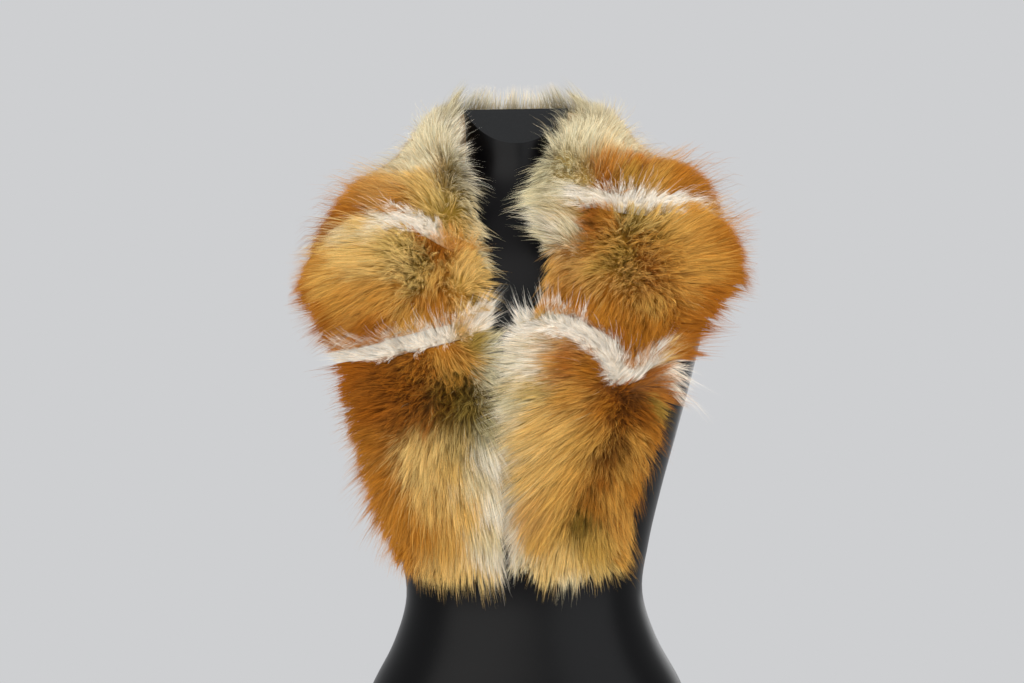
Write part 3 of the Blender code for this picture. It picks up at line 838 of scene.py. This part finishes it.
class FurPiece:  # one sewn piece: s runs along the band from seam to seam, t from the neck edge to the arm edge
    def __init__(self, plan):
        self.plan, seams = plan, plan["seams"]
        self.flow = np.array([row[:4] for row in plan["lie"]])
        tones = [[furTones[tone] for tone in row[4].split()] for row in plan["lie"]]
        self.tones = np.array([[linear(*row[min(k, len(row) - 1)]) for row in tones] for k in range(3)])
        self.cs = np.linspace(-1, 1, 65)
        self.isStrip = len(seams) == 1
        self.hems = (seams[0] is None, seams[-1] is None)
        half, gap = band["stripWidth"] / 2, band["seamGap"] / 2
        if self.isStrip:
            self.ends = [self.beside(seams[0], way * (half - gap)) for way in (-1, 1)]
        else:
            hem = furLook["hemInset"] / np.linalg.norm(skin.along[[0, -1]], axis=2).mean()
            low = np.full(65, hem) if self.hems[0] else self.beside(seams[0], half + gap)
            high = np.full(65, lastRow - hem) if self.hems[1] else self.beside(seams[1], -half - gap)
            self.ends = [low, high]

    def beside(self, name, offset):  # a line beside a seam's middle, so many metres along the band
        u, step = seamLine(name, self.cs), 0.02
        slant = (seamLine(name, self.cs + step) - seamLine(name, self.cs - step)) / (2 * step)
        rowLength = skin.rowLength(u, self.cs)
        breadth = np.linalg.norm(skin.read(skin.across, u, self.cs), axis=1)
        return u + offset / rowLength * np.hypot(1, slant * rowLength / breadth)

    def end(self, side, c):  # the row number at the piece's low or high end
        return np.interp(c, self.cs, self.ends[side])

    def cap(self, u, c):  # the height that the coat's tips reach, less where it is trimmed
        height = capHeight(skin, u, c)
        for rowU, rowC, wide, share in self.plan.get("trimmed", ()):
            there = skin.spot(np.array([rowU]), np.array([rowC]), np.zeros(1))
            away = ((skin.spot(u, c, np.zeros(len(u))) - there) ** 2).sum(-1) / wide**2
            height = height * (1 - (1 - share) * np.exp(-away))
        return height

    def coordinates(self, s, t):
        c = t
        for _ in range(4):
            low, high = self.end(0, c), self.end(1, c)
            u = low + (high - low) * s
            breadth = skin.breadthAt(u)
            inner = -1 + np.interp(u, *zip(*furLook["innerInset"])) / breadth
            outer = 1 - furLook["outerInset"] / breadth
            c = inner + (outer - inner) * (t + 1) / 2
        return u, c

    def heldBack(self, u, c, stepU, rowLength):  # no step along the band goes far past a strip's near edge
        past = self.plan.get("past", (0.002, 0.002))
        if not self.hems[0]:
            stepU = np.maximum(stepU, np.minimum(self.end(0, c) - u - past[0] / rowLength, 0))
        if not self.hems[1]:
            stepU = np.minimum(stepU, np.maximum(self.end(1, c) - u + past[1] / rowLength, 0))
        return stepU

    def besideStrip(self, u, c, rowLength):  # the lean over a seam close by, and the coat's share of height there
        (near, lean), (least, wide) = furLook["seamLean"], furLook["stripSide"]
        step, toSeam = np.zeros(len(u)), np.full(len(u), wide)
        for side, way in enumerate((-1, 1)):
            if not self.hems[side]:
                away = np.abs(u - self.end(side, c)) * rowLength
                step += way * lean * np.clip(1 - away / near, 0, 1)
                toSeam = np.minimum(toSeam, away)
        return step / rowLength, least + (1 - least) * toSeam / wide

    def rimShare(self, u, c, s, t):  # how high the underfur stands, from 0 at the rim to 1
        toRim = (1 - np.abs(t)) * skin.breadthAt(u) * furLook["rimBreadth"]
        length = (self.end(1, c) - self.end(0, c)) * skin.rowLength(u, c)
        for side, share in enumerate((s, 1 - s)):
            if self.hems[side]:
                toRim = np.minimum(toRim, share * length)
        near = np.clip(toRim / furLook["rimRise"], 0, 1)
        return np.sqrt(1 - (1 - near) ** 2)

    def underHeight(self, s, t):
        u, c = self.coordinates(s, t)
        base = furLook["peltLift"] + furLook["peltThick"]
        rise = np.maximum(self.cap(u, c) * furLook["underShare"] - base, furLook["underLeast"])
        return u, c, base + rise * self.rimShare(u, c, s, t)

    def readLie(self, u, c):  # how the fur lies at each place, and the weights of the rows near it
        rowU, rowC, heading, reach = self.flow.T
        here, there = skin.spot(u, c, np.zeros(len(u))), skin.spot(rowU, rowC, np.zeros(len(rowU)))
        away = ((here[:, None] - there[None]) ** 2).sum(-1)
        weight = 1 / (away + furLook["rowReach"] ** 2) ** furLook["rowFall"]
        weight /= weight.sum(1, keepdims=True)
        heading, reach = np.radians(heading), reach / 1000
        return weight @ (np.column_stack([np.cos(heading), np.sin(heading)]) * reach[:, None]), weight


def cellAreas(grid):
    return np.linalg.norm(np.cross(grid[1:, :-1] - grid[:-1, :-1], grid[:-1, 1:] - grid[:-1, :-1]), axis=2)


def evenSpots(piece, count, rng):  # places spread evenly over the piece, a few more near its rim
    rows, columns = 90, 60
    edgeS = np.linspace(0, 1, rows + 1)
    edgeT = np.sin(np.linspace(-1, 1, columns + 1) * np.pi / 2)
    s, t = np.meshgrid(edgeS, edgeT, indexing="ij")
    grid = skin.spot(*piece.underHeight(s.ravel(), t.ravel())).reshape(rows + 1, columns + 1, 3)
    order = np.arange(rows * columns).reshape(rows, columns)
    order[1::2] = order[1::2, ::-1]
    order = order.ravel()
    steps = np.cumsum(cellAreas(grid).ravel()[order])
    draw = (np.arange(count) + rng.random(count)) / count * steps[-1]
    cell = order[np.minimum(np.searchsorted(steps, draw), rows * columns - 1)]
    i, j = cell // columns, cell % columns
    s = edgeS[i] + (edgeS[i + 1] - edgeS[i]) * rng.random(count)
    t = edgeT[j] + (edgeT[j + 1] - edgeT[j]) * rng.random(count)
    return s, t, steps[-1]


def nearest(points, guides):  # which guide each point is nearest to, and how far away it is
    tree = KDTree(len(guides))
    for k, place in enumerate(guides):
        tree.insert(place, k)
    tree.balance()
    found = [tree.find(p) for p in points]
    return np.array([f[1] for f in found]), np.array([f[2] for f in found])


def shades(rng, name, count):
    spread, least, most = furLook[name]
    return rng.normal(1, spread, count).clip(least, most)


def strandPoint(root, rise, run, f):  # it rises first and lies over towards its tip
    f = f[:, None]
    return root + rise * (2 * f - f**2) + run * (0.55 * f + 0.45 * f**2)


def limits(root, tip):  # the share of its length that a strand may have to stay near the solids' own box
    low, high = np.array(cadBox[0]) - furLook["boxSlack"], np.array(cadBox[1]) + furLook["boxSlack"]
    step = tip - root
    far = np.where(step > 0, high - root, root - low) / np.maximum(np.abs(step), 1e-6)
    return np.clip(far.min(axis=1), 0.2, 1)


def growStrands(piece, rng):  # each strand's points from root to tip, its tones and its facing
    plan, count = piece.plan, piece.plan["strands"]
    s, t, area = evenSpots(piece, count, rng)
    u, c, under = piece.underHeight(s, t)
    flow, weight = piece.readLie(u, c)
    hemWay = np.where(u < band["backMiddle"], -1, 1)
    if piece.isStrip:  # its hair fans out over both of its seams
        flow[:, 1] += (s - 0.5) * 2 * np.where(s < 0.5, *plan["fan"]) * hemWay
    rootHeight = under * furLook["rootShare"]
    root = skin.spot(u, c, rootHeight)
    fly = rng.random(count) < np.interp(np.abs(c), furLook["flyFrom"], furLook["flyaway"])

    # Tresses sway together. Within them small locks come to a point, with their longest strands in the middle.
    tressCount = max(int(area / furLook["tressSize"] ** 2), 4)
    tress, _ = nearest(root, root[rng.choice(count, tressCount, replace=False)])
    lockCount = max(int(area / furLook["lockSize"] ** 2), 8)
    upright = np.exp(-((np.linalg.norm(flow, axis=1) / furLook["uprightReach"]) ** 2))
    finer = 1 + furLook["uprightLocks"] * upright
    guides = rng.choice(count, min(lockCount, count // 4), replace=False, p=finer / finer.sum())
    lock, lockAway = nearest(root, root[guides])
    cone = plan.get("cone", furLook["lockCone"]) * np.minimum(lockAway / furLook["lockSize"], 1)
    length = rng.uniform(*furLook["lengths"], count) * (1 - cone)
    toHem = np.minimum(u, lastRow - u)
    rim = np.maximum(np.interp(c, furLook["rimFrom"], (0, 1)), np.interp(toHem, furLook["hemFrom"], (1, 0)))
    length *= 1 + rim * furLook["rimUneven"] * rng.uniform(-1, 1, len(guides))[lock]
    length = np.where(fly, rng.uniform(1.0, furLook["flyLength"], count), length)
    sway = rng.normal(0, furLook["tressSway"], (tressCount, 2))[tress]
    lockSway = furLook["lockSway"] + furLook["uprightSway"] * upright[:, None]
    sway += rng.normal(0, 1, (len(guides), 2))[lock] * lockSway
    own = rng.normal(0, furLook["strandSway"] * plan.get("loose", 1), (count, 2))
    flow = flow * length[:, None] + sway * plan.get("sway", 1) + own

    along, across = skin.read(skin.along, u, c), skin.read(skin.across, u, c)
    rowLength, breadth = np.linalg.norm(along, axis=1), np.linalg.norm(across, axis=1)
    stepU, stepC = flow[:, 1] / rowLength * hemWay, flow[:, 0] / breadth
    low = 1
    if not piece.isStrip:  # beside a strip some hair leans over the seam, and the rest gives way to the strip's own
        lean, low = piece.besideStrip(u, c, rowLength)
        lean = lean * (rng.random(count) < furLook["leanShare"])
        keepU, keepC = furLook["leanKeeps"]
        stepC = np.where(lean != 0, keepC * stepC, stepC)
        stepU = piece.heldBack(u, c, np.where(lean != 0, lean + keepU * stepU, stepU), rowLength)
    flat = np.zeros(count)
    follow = skin.spot(u + stepU, c + stepC, flat) - skin.spot(u, c, flat)
    keep = np.where(fly, 1.0, np.interp(c, furLook["straightFrom"], furLook["straight"]))[:, None]
    run = follow * (1 - keep) + (along * stepU[:, None] + across * stepC[:, None]) * keep
    # A lock takes a part of its tones from one row near it, so that two colours meet in streaks.
    draw = (rng.random(len(guides))[lock] + rng.normal(0, furLook["streakSpread"], count)) % 1
    near = np.cumsum(weight ** furLook["streakFall"], 1)
    chosen = np.minimum((near / near[:, -1:] < draw[:, None]).sum(1), weight.shape[1] - 1)
    streak = furLook["streaks"]
    rootTone, bodyTone, tipTone = ((1 - streak) * weight @ rows + streak * rows[chosen] for rows in piece.tones)

    height = piece.cap(u + stepU, c + stepC) * rng.uniform(*furLook["heights"], count)
    height *= 1 + furLook["lengthInHeight"] * (length - 1)
    height *= rng.uniform(*furLook["tressHeights"], tressCount)[tress] * plan.get("lift", 1)
    flyTimes, flyMore = furLook["flyHeight"]
    height = np.where(fly, height * flyTimes + flyMore, height) * low
    facing = skin.read(skin.normal, u, c)
    upward = unit(facing * (1 - keep * furLook["rootFacing"]) + skin.read(skin.normal, u + stepU, c + stepC) * keep)
    rise = upward * height[:, None] - facing * rootHeight[:, None]
    room = limits(root, root + rise + run)[:, None]
    rise, run = rise * room, run * room

    pull = rng.uniform(*plan.get("pull", furLook["lockPull"]), len(guides))[lock] + furLook["rimPull"] * rim
    pull += furLook["uprightPull"] * upright * (not piece.isStrip)
    pull *= np.where(fly, furLook["flyPull"], 1)
    guide, points = guides[lock], []
    for f in furLook["spans"]:
        own = strandPoint(root, rise, run, np.full(count, f))
        led = strandPoint(root[guide], rise[guide], run[guide], f * np.minimum(length / length[guide], 1.1))
        points.append(own + (led - own) * (pull * f ** furLook["pullGrowth"])[:, None])
    bright = shades(rng, "strandShade", count) * shades(rng, "lockShade", len(guides))[lock]
    darkShare, darkness = furLook["darkLocks"]
    dark = rng.random(len(guides)) < darkShare * (0.5 + upright[guides]) * (not piece.isStrip)
    bright *= np.where(dark[lock], darkness, 1) * rng.uniform(*furLook["tressShade"], tressCount)[tress]
    darkShare, darkness = furLook["darkStrands"]
    bright *= np.where(rng.random(count) < plan.get("darkShare", darkShare), darkness, 1)
    warmth = rng.normal(0, furLook["warmth"], count)
    tint = np.column_stack([1 + warmth, np.ones(count), 1 - warmth]) * bright[:, None]
    # The strands' roots come out darker than their tones here, painted shade deep in the coat.
    tones = np.tensordot(furLook["toneMix"], (rootTone, bodyTone, tipTone), 1)
    return np.array(points), tones * tint, facing, fly, area


def ribbons(points, tones, facing, fly, rng):  # flat strands in two blocks, most of them with a span less
    count = points.shape[1]
    width = rng.uniform(*furLook["strandWidth"], count) * np.where(fly, furLook["flyWidth"], 1)
    roll = rng.normal(0, furLook["roll"], count)[:, None]
    way = unit(points[3] - points[0])
    side = unit(np.cross(way, facing))
    side = side * np.cos(roll) + np.cross(side, way) * np.sin(roll)
    out = np.cross(side, way)
    out *= np.where((out * facing).sum(-1, keepdims=True) < 0, -1, 1)
    side = np.cross(way, out)
    shade = unit(furLook["shadeFacing"] * facing + (1 - furLook["shadeFacing"]) * out)
    longOnes = rng.random(count) < furLook["longShare"]
    for chosen, keep in ((longOnes, (0, 1, 2)), (~longOnes, (0, 2))):
        rows, colours = [], []
        for k in keep:
            half = side[chosen] * (width[chosen] * furLook["taper"][k] / 2)[:, None]
            rows += [points[k, chosen] - half, points[k, chosen] + half]
            colours += [tones[k, chosen]] * 2
        rows, colours = np.stack(rows + [points[3, chosen]], 1), np.stack(colours + [tones[3, chosen]], 1)
        yield rows.shape[1], rows.reshape(-1, 3), colours.reshape(-1, 3), np.repeat(shade[chosen], rows.shape[1], 0)


def closedSheet(top, bottom, shape):  # a thin sheet's points and faces, wound so that its top faces out
    n = shape[0] * shape[1]
    index = np.arange(n).reshape(shape)
    quads = np.stack([index[:-1, :-1], index[1:, :-1], index[1:, 1:], index[:-1, 1:]], -1).reshape(-1, 4)
    rim = np.concatenate([index[0, :], index[1:, -1], index[-1, -2::-1], index[-2:0:-1, 0]])
    after = np.roll(rim, -1)
    faces = np.concatenate([quads, quads[:, ::-1] + n, np.stack([rim, after, after + n, rim + n], -1)])
    first, second, _, fourth = (top[quads[:, k]] for k in range(4))
    if (np.cross(second - first, fourth - first) * (top - bottom)[quads[:, 0]]).sum() < 0:
        faces = faces[:, ::-1]
    return np.concatenate([top, bottom]), faces


def underBody(piece):  # the closed woolly underfur that the strands grow from
    shape = (10 if piece.isStrip else 46, 44)
    edgeT = np.sin(np.linspace(-1, 1, shape[1]) * np.pi / 2)
    s, t = (x.ravel() for x in np.meshgrid(np.linspace(0, 1, shape[0]), edgeT, indexing="ij"))
    u, c, height = piece.underHeight(s, t)
    base = furLook["peltLift"] + furLook["peltThick"] + furLook["underGap"]
    top = skin.spot(u, c, np.maximum(height, base + furLook["underThin"]))
    verts, faces = closedSheet(top, skin.spot(u, c, np.full(len(u), base)), shape)
    weight = piece.readLie(u, c)[1]
    rootTone, bodyTone = weight @ piece.tones[0], weight @ piece.tones[1]
    nearRim = 1 - piece.rimShare(u, c, s, t)[:, None]
    rootPart, bodyPart = (np.interp(nearRim, (0, 1), ends) for ends in furLook["underTones"])
    tone = rootTone * rootPart + bodyTone * bodyPart
    place = np.column_stack([s, (t + 1) / 2])
    # The underside's copy of the tones is darkened to 0.6, painted shade where it faces the pelt.
    return verts, faces, np.concatenate([tone, tone * 0.6]), np.concatenate([place, place])


def furMesh(piece, rng):
    points, tones, facing, fly, area = growStrands(piece, rng)
    verts, faces, tone, place = underBody(piece)
    bodyCount, count = len(verts), points.shape[1]
    allVerts, allTones, allShades = [verts], [tone], []
    loops, sizes = [faces.ravel()], [np.full(len(faces), 4)]
    # The bake map: the body on the lowest fifth, above it a small cell for each strand.
    maps = [(place * (0.96, 0.17) + (0.02, 0.01))[faces.ravel()]]
    across = math.ceil(math.sqrt(count * 2.2))
    cell = np.array((1 / across, 0.8 / math.ceil(count / across)))
    start, done = bodyCount, 0
    for size, verts, tone, shade in ribbons(points, tones, facing, fly, rng):
        n, levels = len(verts) // size, (size - 1) // 2
        base = start + np.arange(n)[:, None] * size
        quads = [base + (2 * q, 2 * q + 1, 2 * q + 3, 2 * q + 2) for q in range(levels - 1)]
        quadLoops, tipLoops = np.stack(quads, 1).ravel(), (base + (size - 3, size - 2, size - 1)).ravel()
        loops += [quadLoops, tipLoops]
        sizes += [np.full(n * (levels - 1), 4), np.full(n, 3)]
        number = done + np.arange(n)
        corner = np.column_stack([number % across, number // across]) * cell + (0, 0.2)
        inCell = [(0.2 + 0.6 * (k % 2), 0.12 + 0.76 * (k // 2) / levels) for k in range(size - 1)] + [(0.5, 0.88)]
        vertMap = (corner[:, None] + np.array(inCell) * cell).reshape(-1, 2)
        maps += [vertMap[quadLoops - start], vertMap[tipLoops - start]]
        allVerts.append(verts)
        allTones.append(tone)
        allShades.append(shade)
        start, done = start + n * size, done + n
    parts = (np.concatenate(x) for x in (allVerts, allTones, loops, sizes, maps, allShades))
    return assemble(piece.plan["name"] + "_fur", bodyCount, *parts), area


def assemble(name, bodyCount, verts, tones, loops, sizes, maps, shades):
    mesh = bpy.data.meshes.new(name)
    mesh.vertices.add(len(verts))
    mesh.vertices.foreach_set("co", verts.astype(np.float32).ravel())
    mesh.loops.add(len(loops))
    mesh.loops.foreach_set("vertex_index", loops.astype(np.int32))
    mesh.polygons.add(len(sizes))
    starts = np.concatenate([[0], np.cumsum(sizes)[:-1]])
    mesh.polygons.foreach_set("loop_start", starts.astype(np.int32))
    mesh.update(calc_edges=True)
    mesh.shade_smooth()
    colours = np.column_stack([tones, np.ones(len(tones))]).astype(np.float32)
    mesh.color_attributes.new("furTone", "FLOAT_COLOR", "POINT").data.foreach_set("color", colours.ravel())
    mesh.uv_layers.new(name="OFBake").uv.foreach_set("vector", maps.astype(np.float32).ravel())
    normals = np.empty(len(verts) * 3, np.float32)
    mesh.vertices.foreach_get("normal", normals)
    normals = normals.reshape(-1, 3)
    normals[bodyCount:] = shades
    mesh.normals_split_custom_set_from_vertices(normals)
    return added(name, mesh, furMaterials["fur"])


def peltMesh(piece):  # the leather, a thin closed sheet, and how large it is
    shape = (5 if piece.isStrip else 24, 26)
    s, t = np.meshgrid(np.linspace(0, 1, shape[0]), np.linspace(-1, 1, shape[1]), indexing="ij")
    u, c = piece.coordinates(s.ravel(), t.ravel())
    heights = (furLook["peltLift"] + furLook["peltThick"], furLook["peltLift"])
    top, bottom = (skin.spot(u, c, np.full(len(u), height)) for height in heights)
    verts, faces = closedSheet(top, bottom, shape)
    mesh = bpy.data.meshes.new(piece.plan["name"] + "_pelt")
    mesh.from_pydata(verts.tolist(), [], faces.tolist())
    mesh.shade_smooth()
    mesh.set_sharp_from_angle(angle=math.radians(50))
    grid = top.reshape(*shape, 3)
    width = np.linalg.norm(np.diff(grid, axis=1), axis=2).sum(1).max()
    length = np.linalg.norm(np.diff(grid, axis=0), axis=2).sum(0).max()
    made = added(mesh.name, mesh, furMaterials["pelt"])
    return made, (round(float(width), 4), round(float(length), 4)), cellAreas(grid).sum()


triangles = 0
for number, plan in enumerate(furPieces):
    piece = FurPiece(plan)
    fur, area = furMesh(piece, np.random.default_rng(furLook["seed"] + number))
    pelt, flat, cutArea = peltMesh(piece)
    for made in (fur, pelt):
        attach(made, "root")
    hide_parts(plan["name"])
    faces = [len(made.data.loops) - 2 * len(made.data.polygons) for made in (fur, pelt)]
    triangles += sum(faces)
    cut = (*flat, round(float(cutArea), 5))
    print(plan["name"], "fur:", faces[0], "triangles over", round(area * 1e4), "cm2, cut", cut)
print("fur and pelts:", triangles, "triangles")


# The torso form: glossy black plastic, matte on the slanted front of the neck.
def plasticMaterial():
    look = Sheet("blackPlastic")
    ripple = look.noise(9, 2)
    fleck = look.ramp(look.noise(260, 4, rough=0.6), (0.62, (0, 0, 0)), (0.74, (1, 1, 1)))
    return look.finish(
        baseColor=look.blend(fleck, (*linear(6, 6, 7), 1), (*linear(12, 12, 13), 1)),
        roughness=0.28 + 0.08 * ripple,
        specularIorLevel=0.11,
        normal=look.bump(ripple, 0.06, 0.004),
    )


def matteMaterial():
    look = Sheet("mattePlastic")
    grain = look.noise(700, 3)
    return look.finish(
        baseColor=look.ramp(grain, (0.3, linear(26, 27, 28)), (0.7, linear(32, 33, 34))),
        roughness=0.70 + 0.1 * grain,
        specularIorLevel=0.12,
        normal=look.bump(grain, 0.2, 0.0003),
    )


def torsoForm():
    points, faces = formShell(form["sides"], form["ringsASection"])
    mesh = bpy.data.meshes.new("torso_form_gloss")
    mesh.from_pydata(points, [], faces)
    work = bmesh.new()
    work.from_mesh(mesh)
    bmesh.ops.recalc_face_normals(work, faces=work.faces)
    neckFront = form["sections"][-1][2]
    slope = math.atan2(form["neckCutDrop"], form["neckCutSetback"])
    start = Vector((0, neckFront, form["height"] - form["neckCutDrop"]))
    up = Matrix.Rotation(slope, 3, "X") @ Vector((0, 0, 1))
    whole = work.verts[:] + work.edges[:] + work.faces[:]
    cut = bmesh.ops.bisect_plane(work, geom=whole, plane_co=start, plane_no=up, clear_outer=True, dist=1e-6)
    edges = [x for x in cut["geom_cut"] if isinstance(x, bmesh.types.BMEdge)]
    cap = bmesh.ops.contextual_create(work, geom=edges)["faces"]
    for face in cap:
        face.material_index = 1
    bmesh.ops.bevel(
        work, geom=list({e for f in cap for e in f.edges}), offset=form["neckEdge"], offset_type="OFFSET",
        segments=4, profile=0.5, affect="EDGES", clamp_overlap=True,
    )
    bmesh.ops.recalc_face_normals(work, faces=work.faces)
    for face in work.faces:
        face.smooth = True
        if face.normal.dot(up) < 0.999:
            face.material_index = 0
    work.to_mesh(mesh)
    work.free()
    mesh.set_sharp_from_angle(angle=math.radians(42))
    made = added("torso_form_gloss", mesh, plasticMaterial(), matteMaterial())
    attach(made, "root")
    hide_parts("torso_form")
    return made


print("torso form made:", len(torsoForm().data.polygons), "faces")

# The studio: a pale floor and backdrop, soft lights and the camera.
studio = {
    "backdrop": (206, 207, 209), "floorRadius": 0.84, "floorFade": 0.30, "floorDrop": 0.0005,
    "lights": [
        # name, place, size, power, colour
        ("key", (-1.3, -2.7, 1.40), (3.4, 2.8), 74, (1.0, 0.98, 0.95)),
        ("fill", (1.9, -2.3, 0.95), (3.0, 2.8), 54, (0.97, 0.98, 1.0)),
        ("top", (0.0, 0.2, 2.4), (1.6, 1.2), 8, (1.0, 1.0, 1.0)),
        ("rear", (0.8, 2.4, 1.4), (3.4, 3.0), 36, (1.0, 1.0, 1.0)),
    ],
    "aim": (0, 0, 0.48),
    "cameraPlace": (-0.008, -2.0, 0.4875), "lens": 70, "sensor": 36, "cameraRoll": -1.0,
}


def softLight(name, place, size, power, colour):
    lamp = bpy.data.lights.new(name, "AREA")
    lamp.shape, lamp.size, lamp.size_y = "RECTANGLE", *size
    lamp.energy, lamp.color = power, colour
    made = added(name, lamp)
    made.location = place
    made.rotation_euler = (Vector(studio["aim"]) - Vector(place)).to_track_quat("-Z", "Y").to_euler()


def floorDisc():
    mesh = bpy.data.meshes.new("floor")
    work = bmesh.new()
    bmesh.ops.create_circle(work, cap_ends=True, radius=studio["floorRadius"], segments=96)
    work.to_mesh(mesh)
    work.free()
    look = Sheet("paleFloor")
    away = look.node("ShaderNodeVectorMath", {"operation": "LENGTH"}, {0: look.place()}, "Value")
    far = look.node(
        "ShaderNodeMapRange", {"interpolation_type": "SMOOTHSTEP"},
        {"Value": away, "From Min": studio["floorFade"], "From Max": studio["floorRadius"]},
    )
    tone = look.ramp(look.noise(3, 3), (0.3, linear(196, 197, 199)), (0.7, linear(202, 203, 205)))
    made = added("floor", mesh, look.finish(baseColor=tone, roughness=0.85, specularIorLevel=0.2, alpha=1 - far))
    made.location.z = -studio["floorDrop"]


def backdropWorld():
    world = bpy.data.worlds.new("backdrop")
    world.use_nodes = True
    back = world.node_tree.nodes["Background"]
    back.inputs["Color"].default_value = (*linear(*studio["backdrop"]), 1)
    back.inputs["Strength"].default_value = 1.0
    scene.world = world


def addCamera():
    lens = bpy.data.cameras.new("camera")
    lens.lens, lens.sensor_width = studio["lens"], studio["sensor"]
    made = added("camera", lens)
    level = Matrix.Rotation(math.radians(90), 4, "X")
    roll = Matrix.Rotation(math.radians(studio["cameraRoll"]), 4, "Z")
    made.matrix_world = Matrix.Translation(studio["cameraPlace"]) @ level @ roll
    scene.camera = made


for light in studio["lights"]:
    softLight(*light)
floorDisc()
backdropWorld()
addCamera()
scene.view_settings.view_transform = "Standard"
print("studio ready")
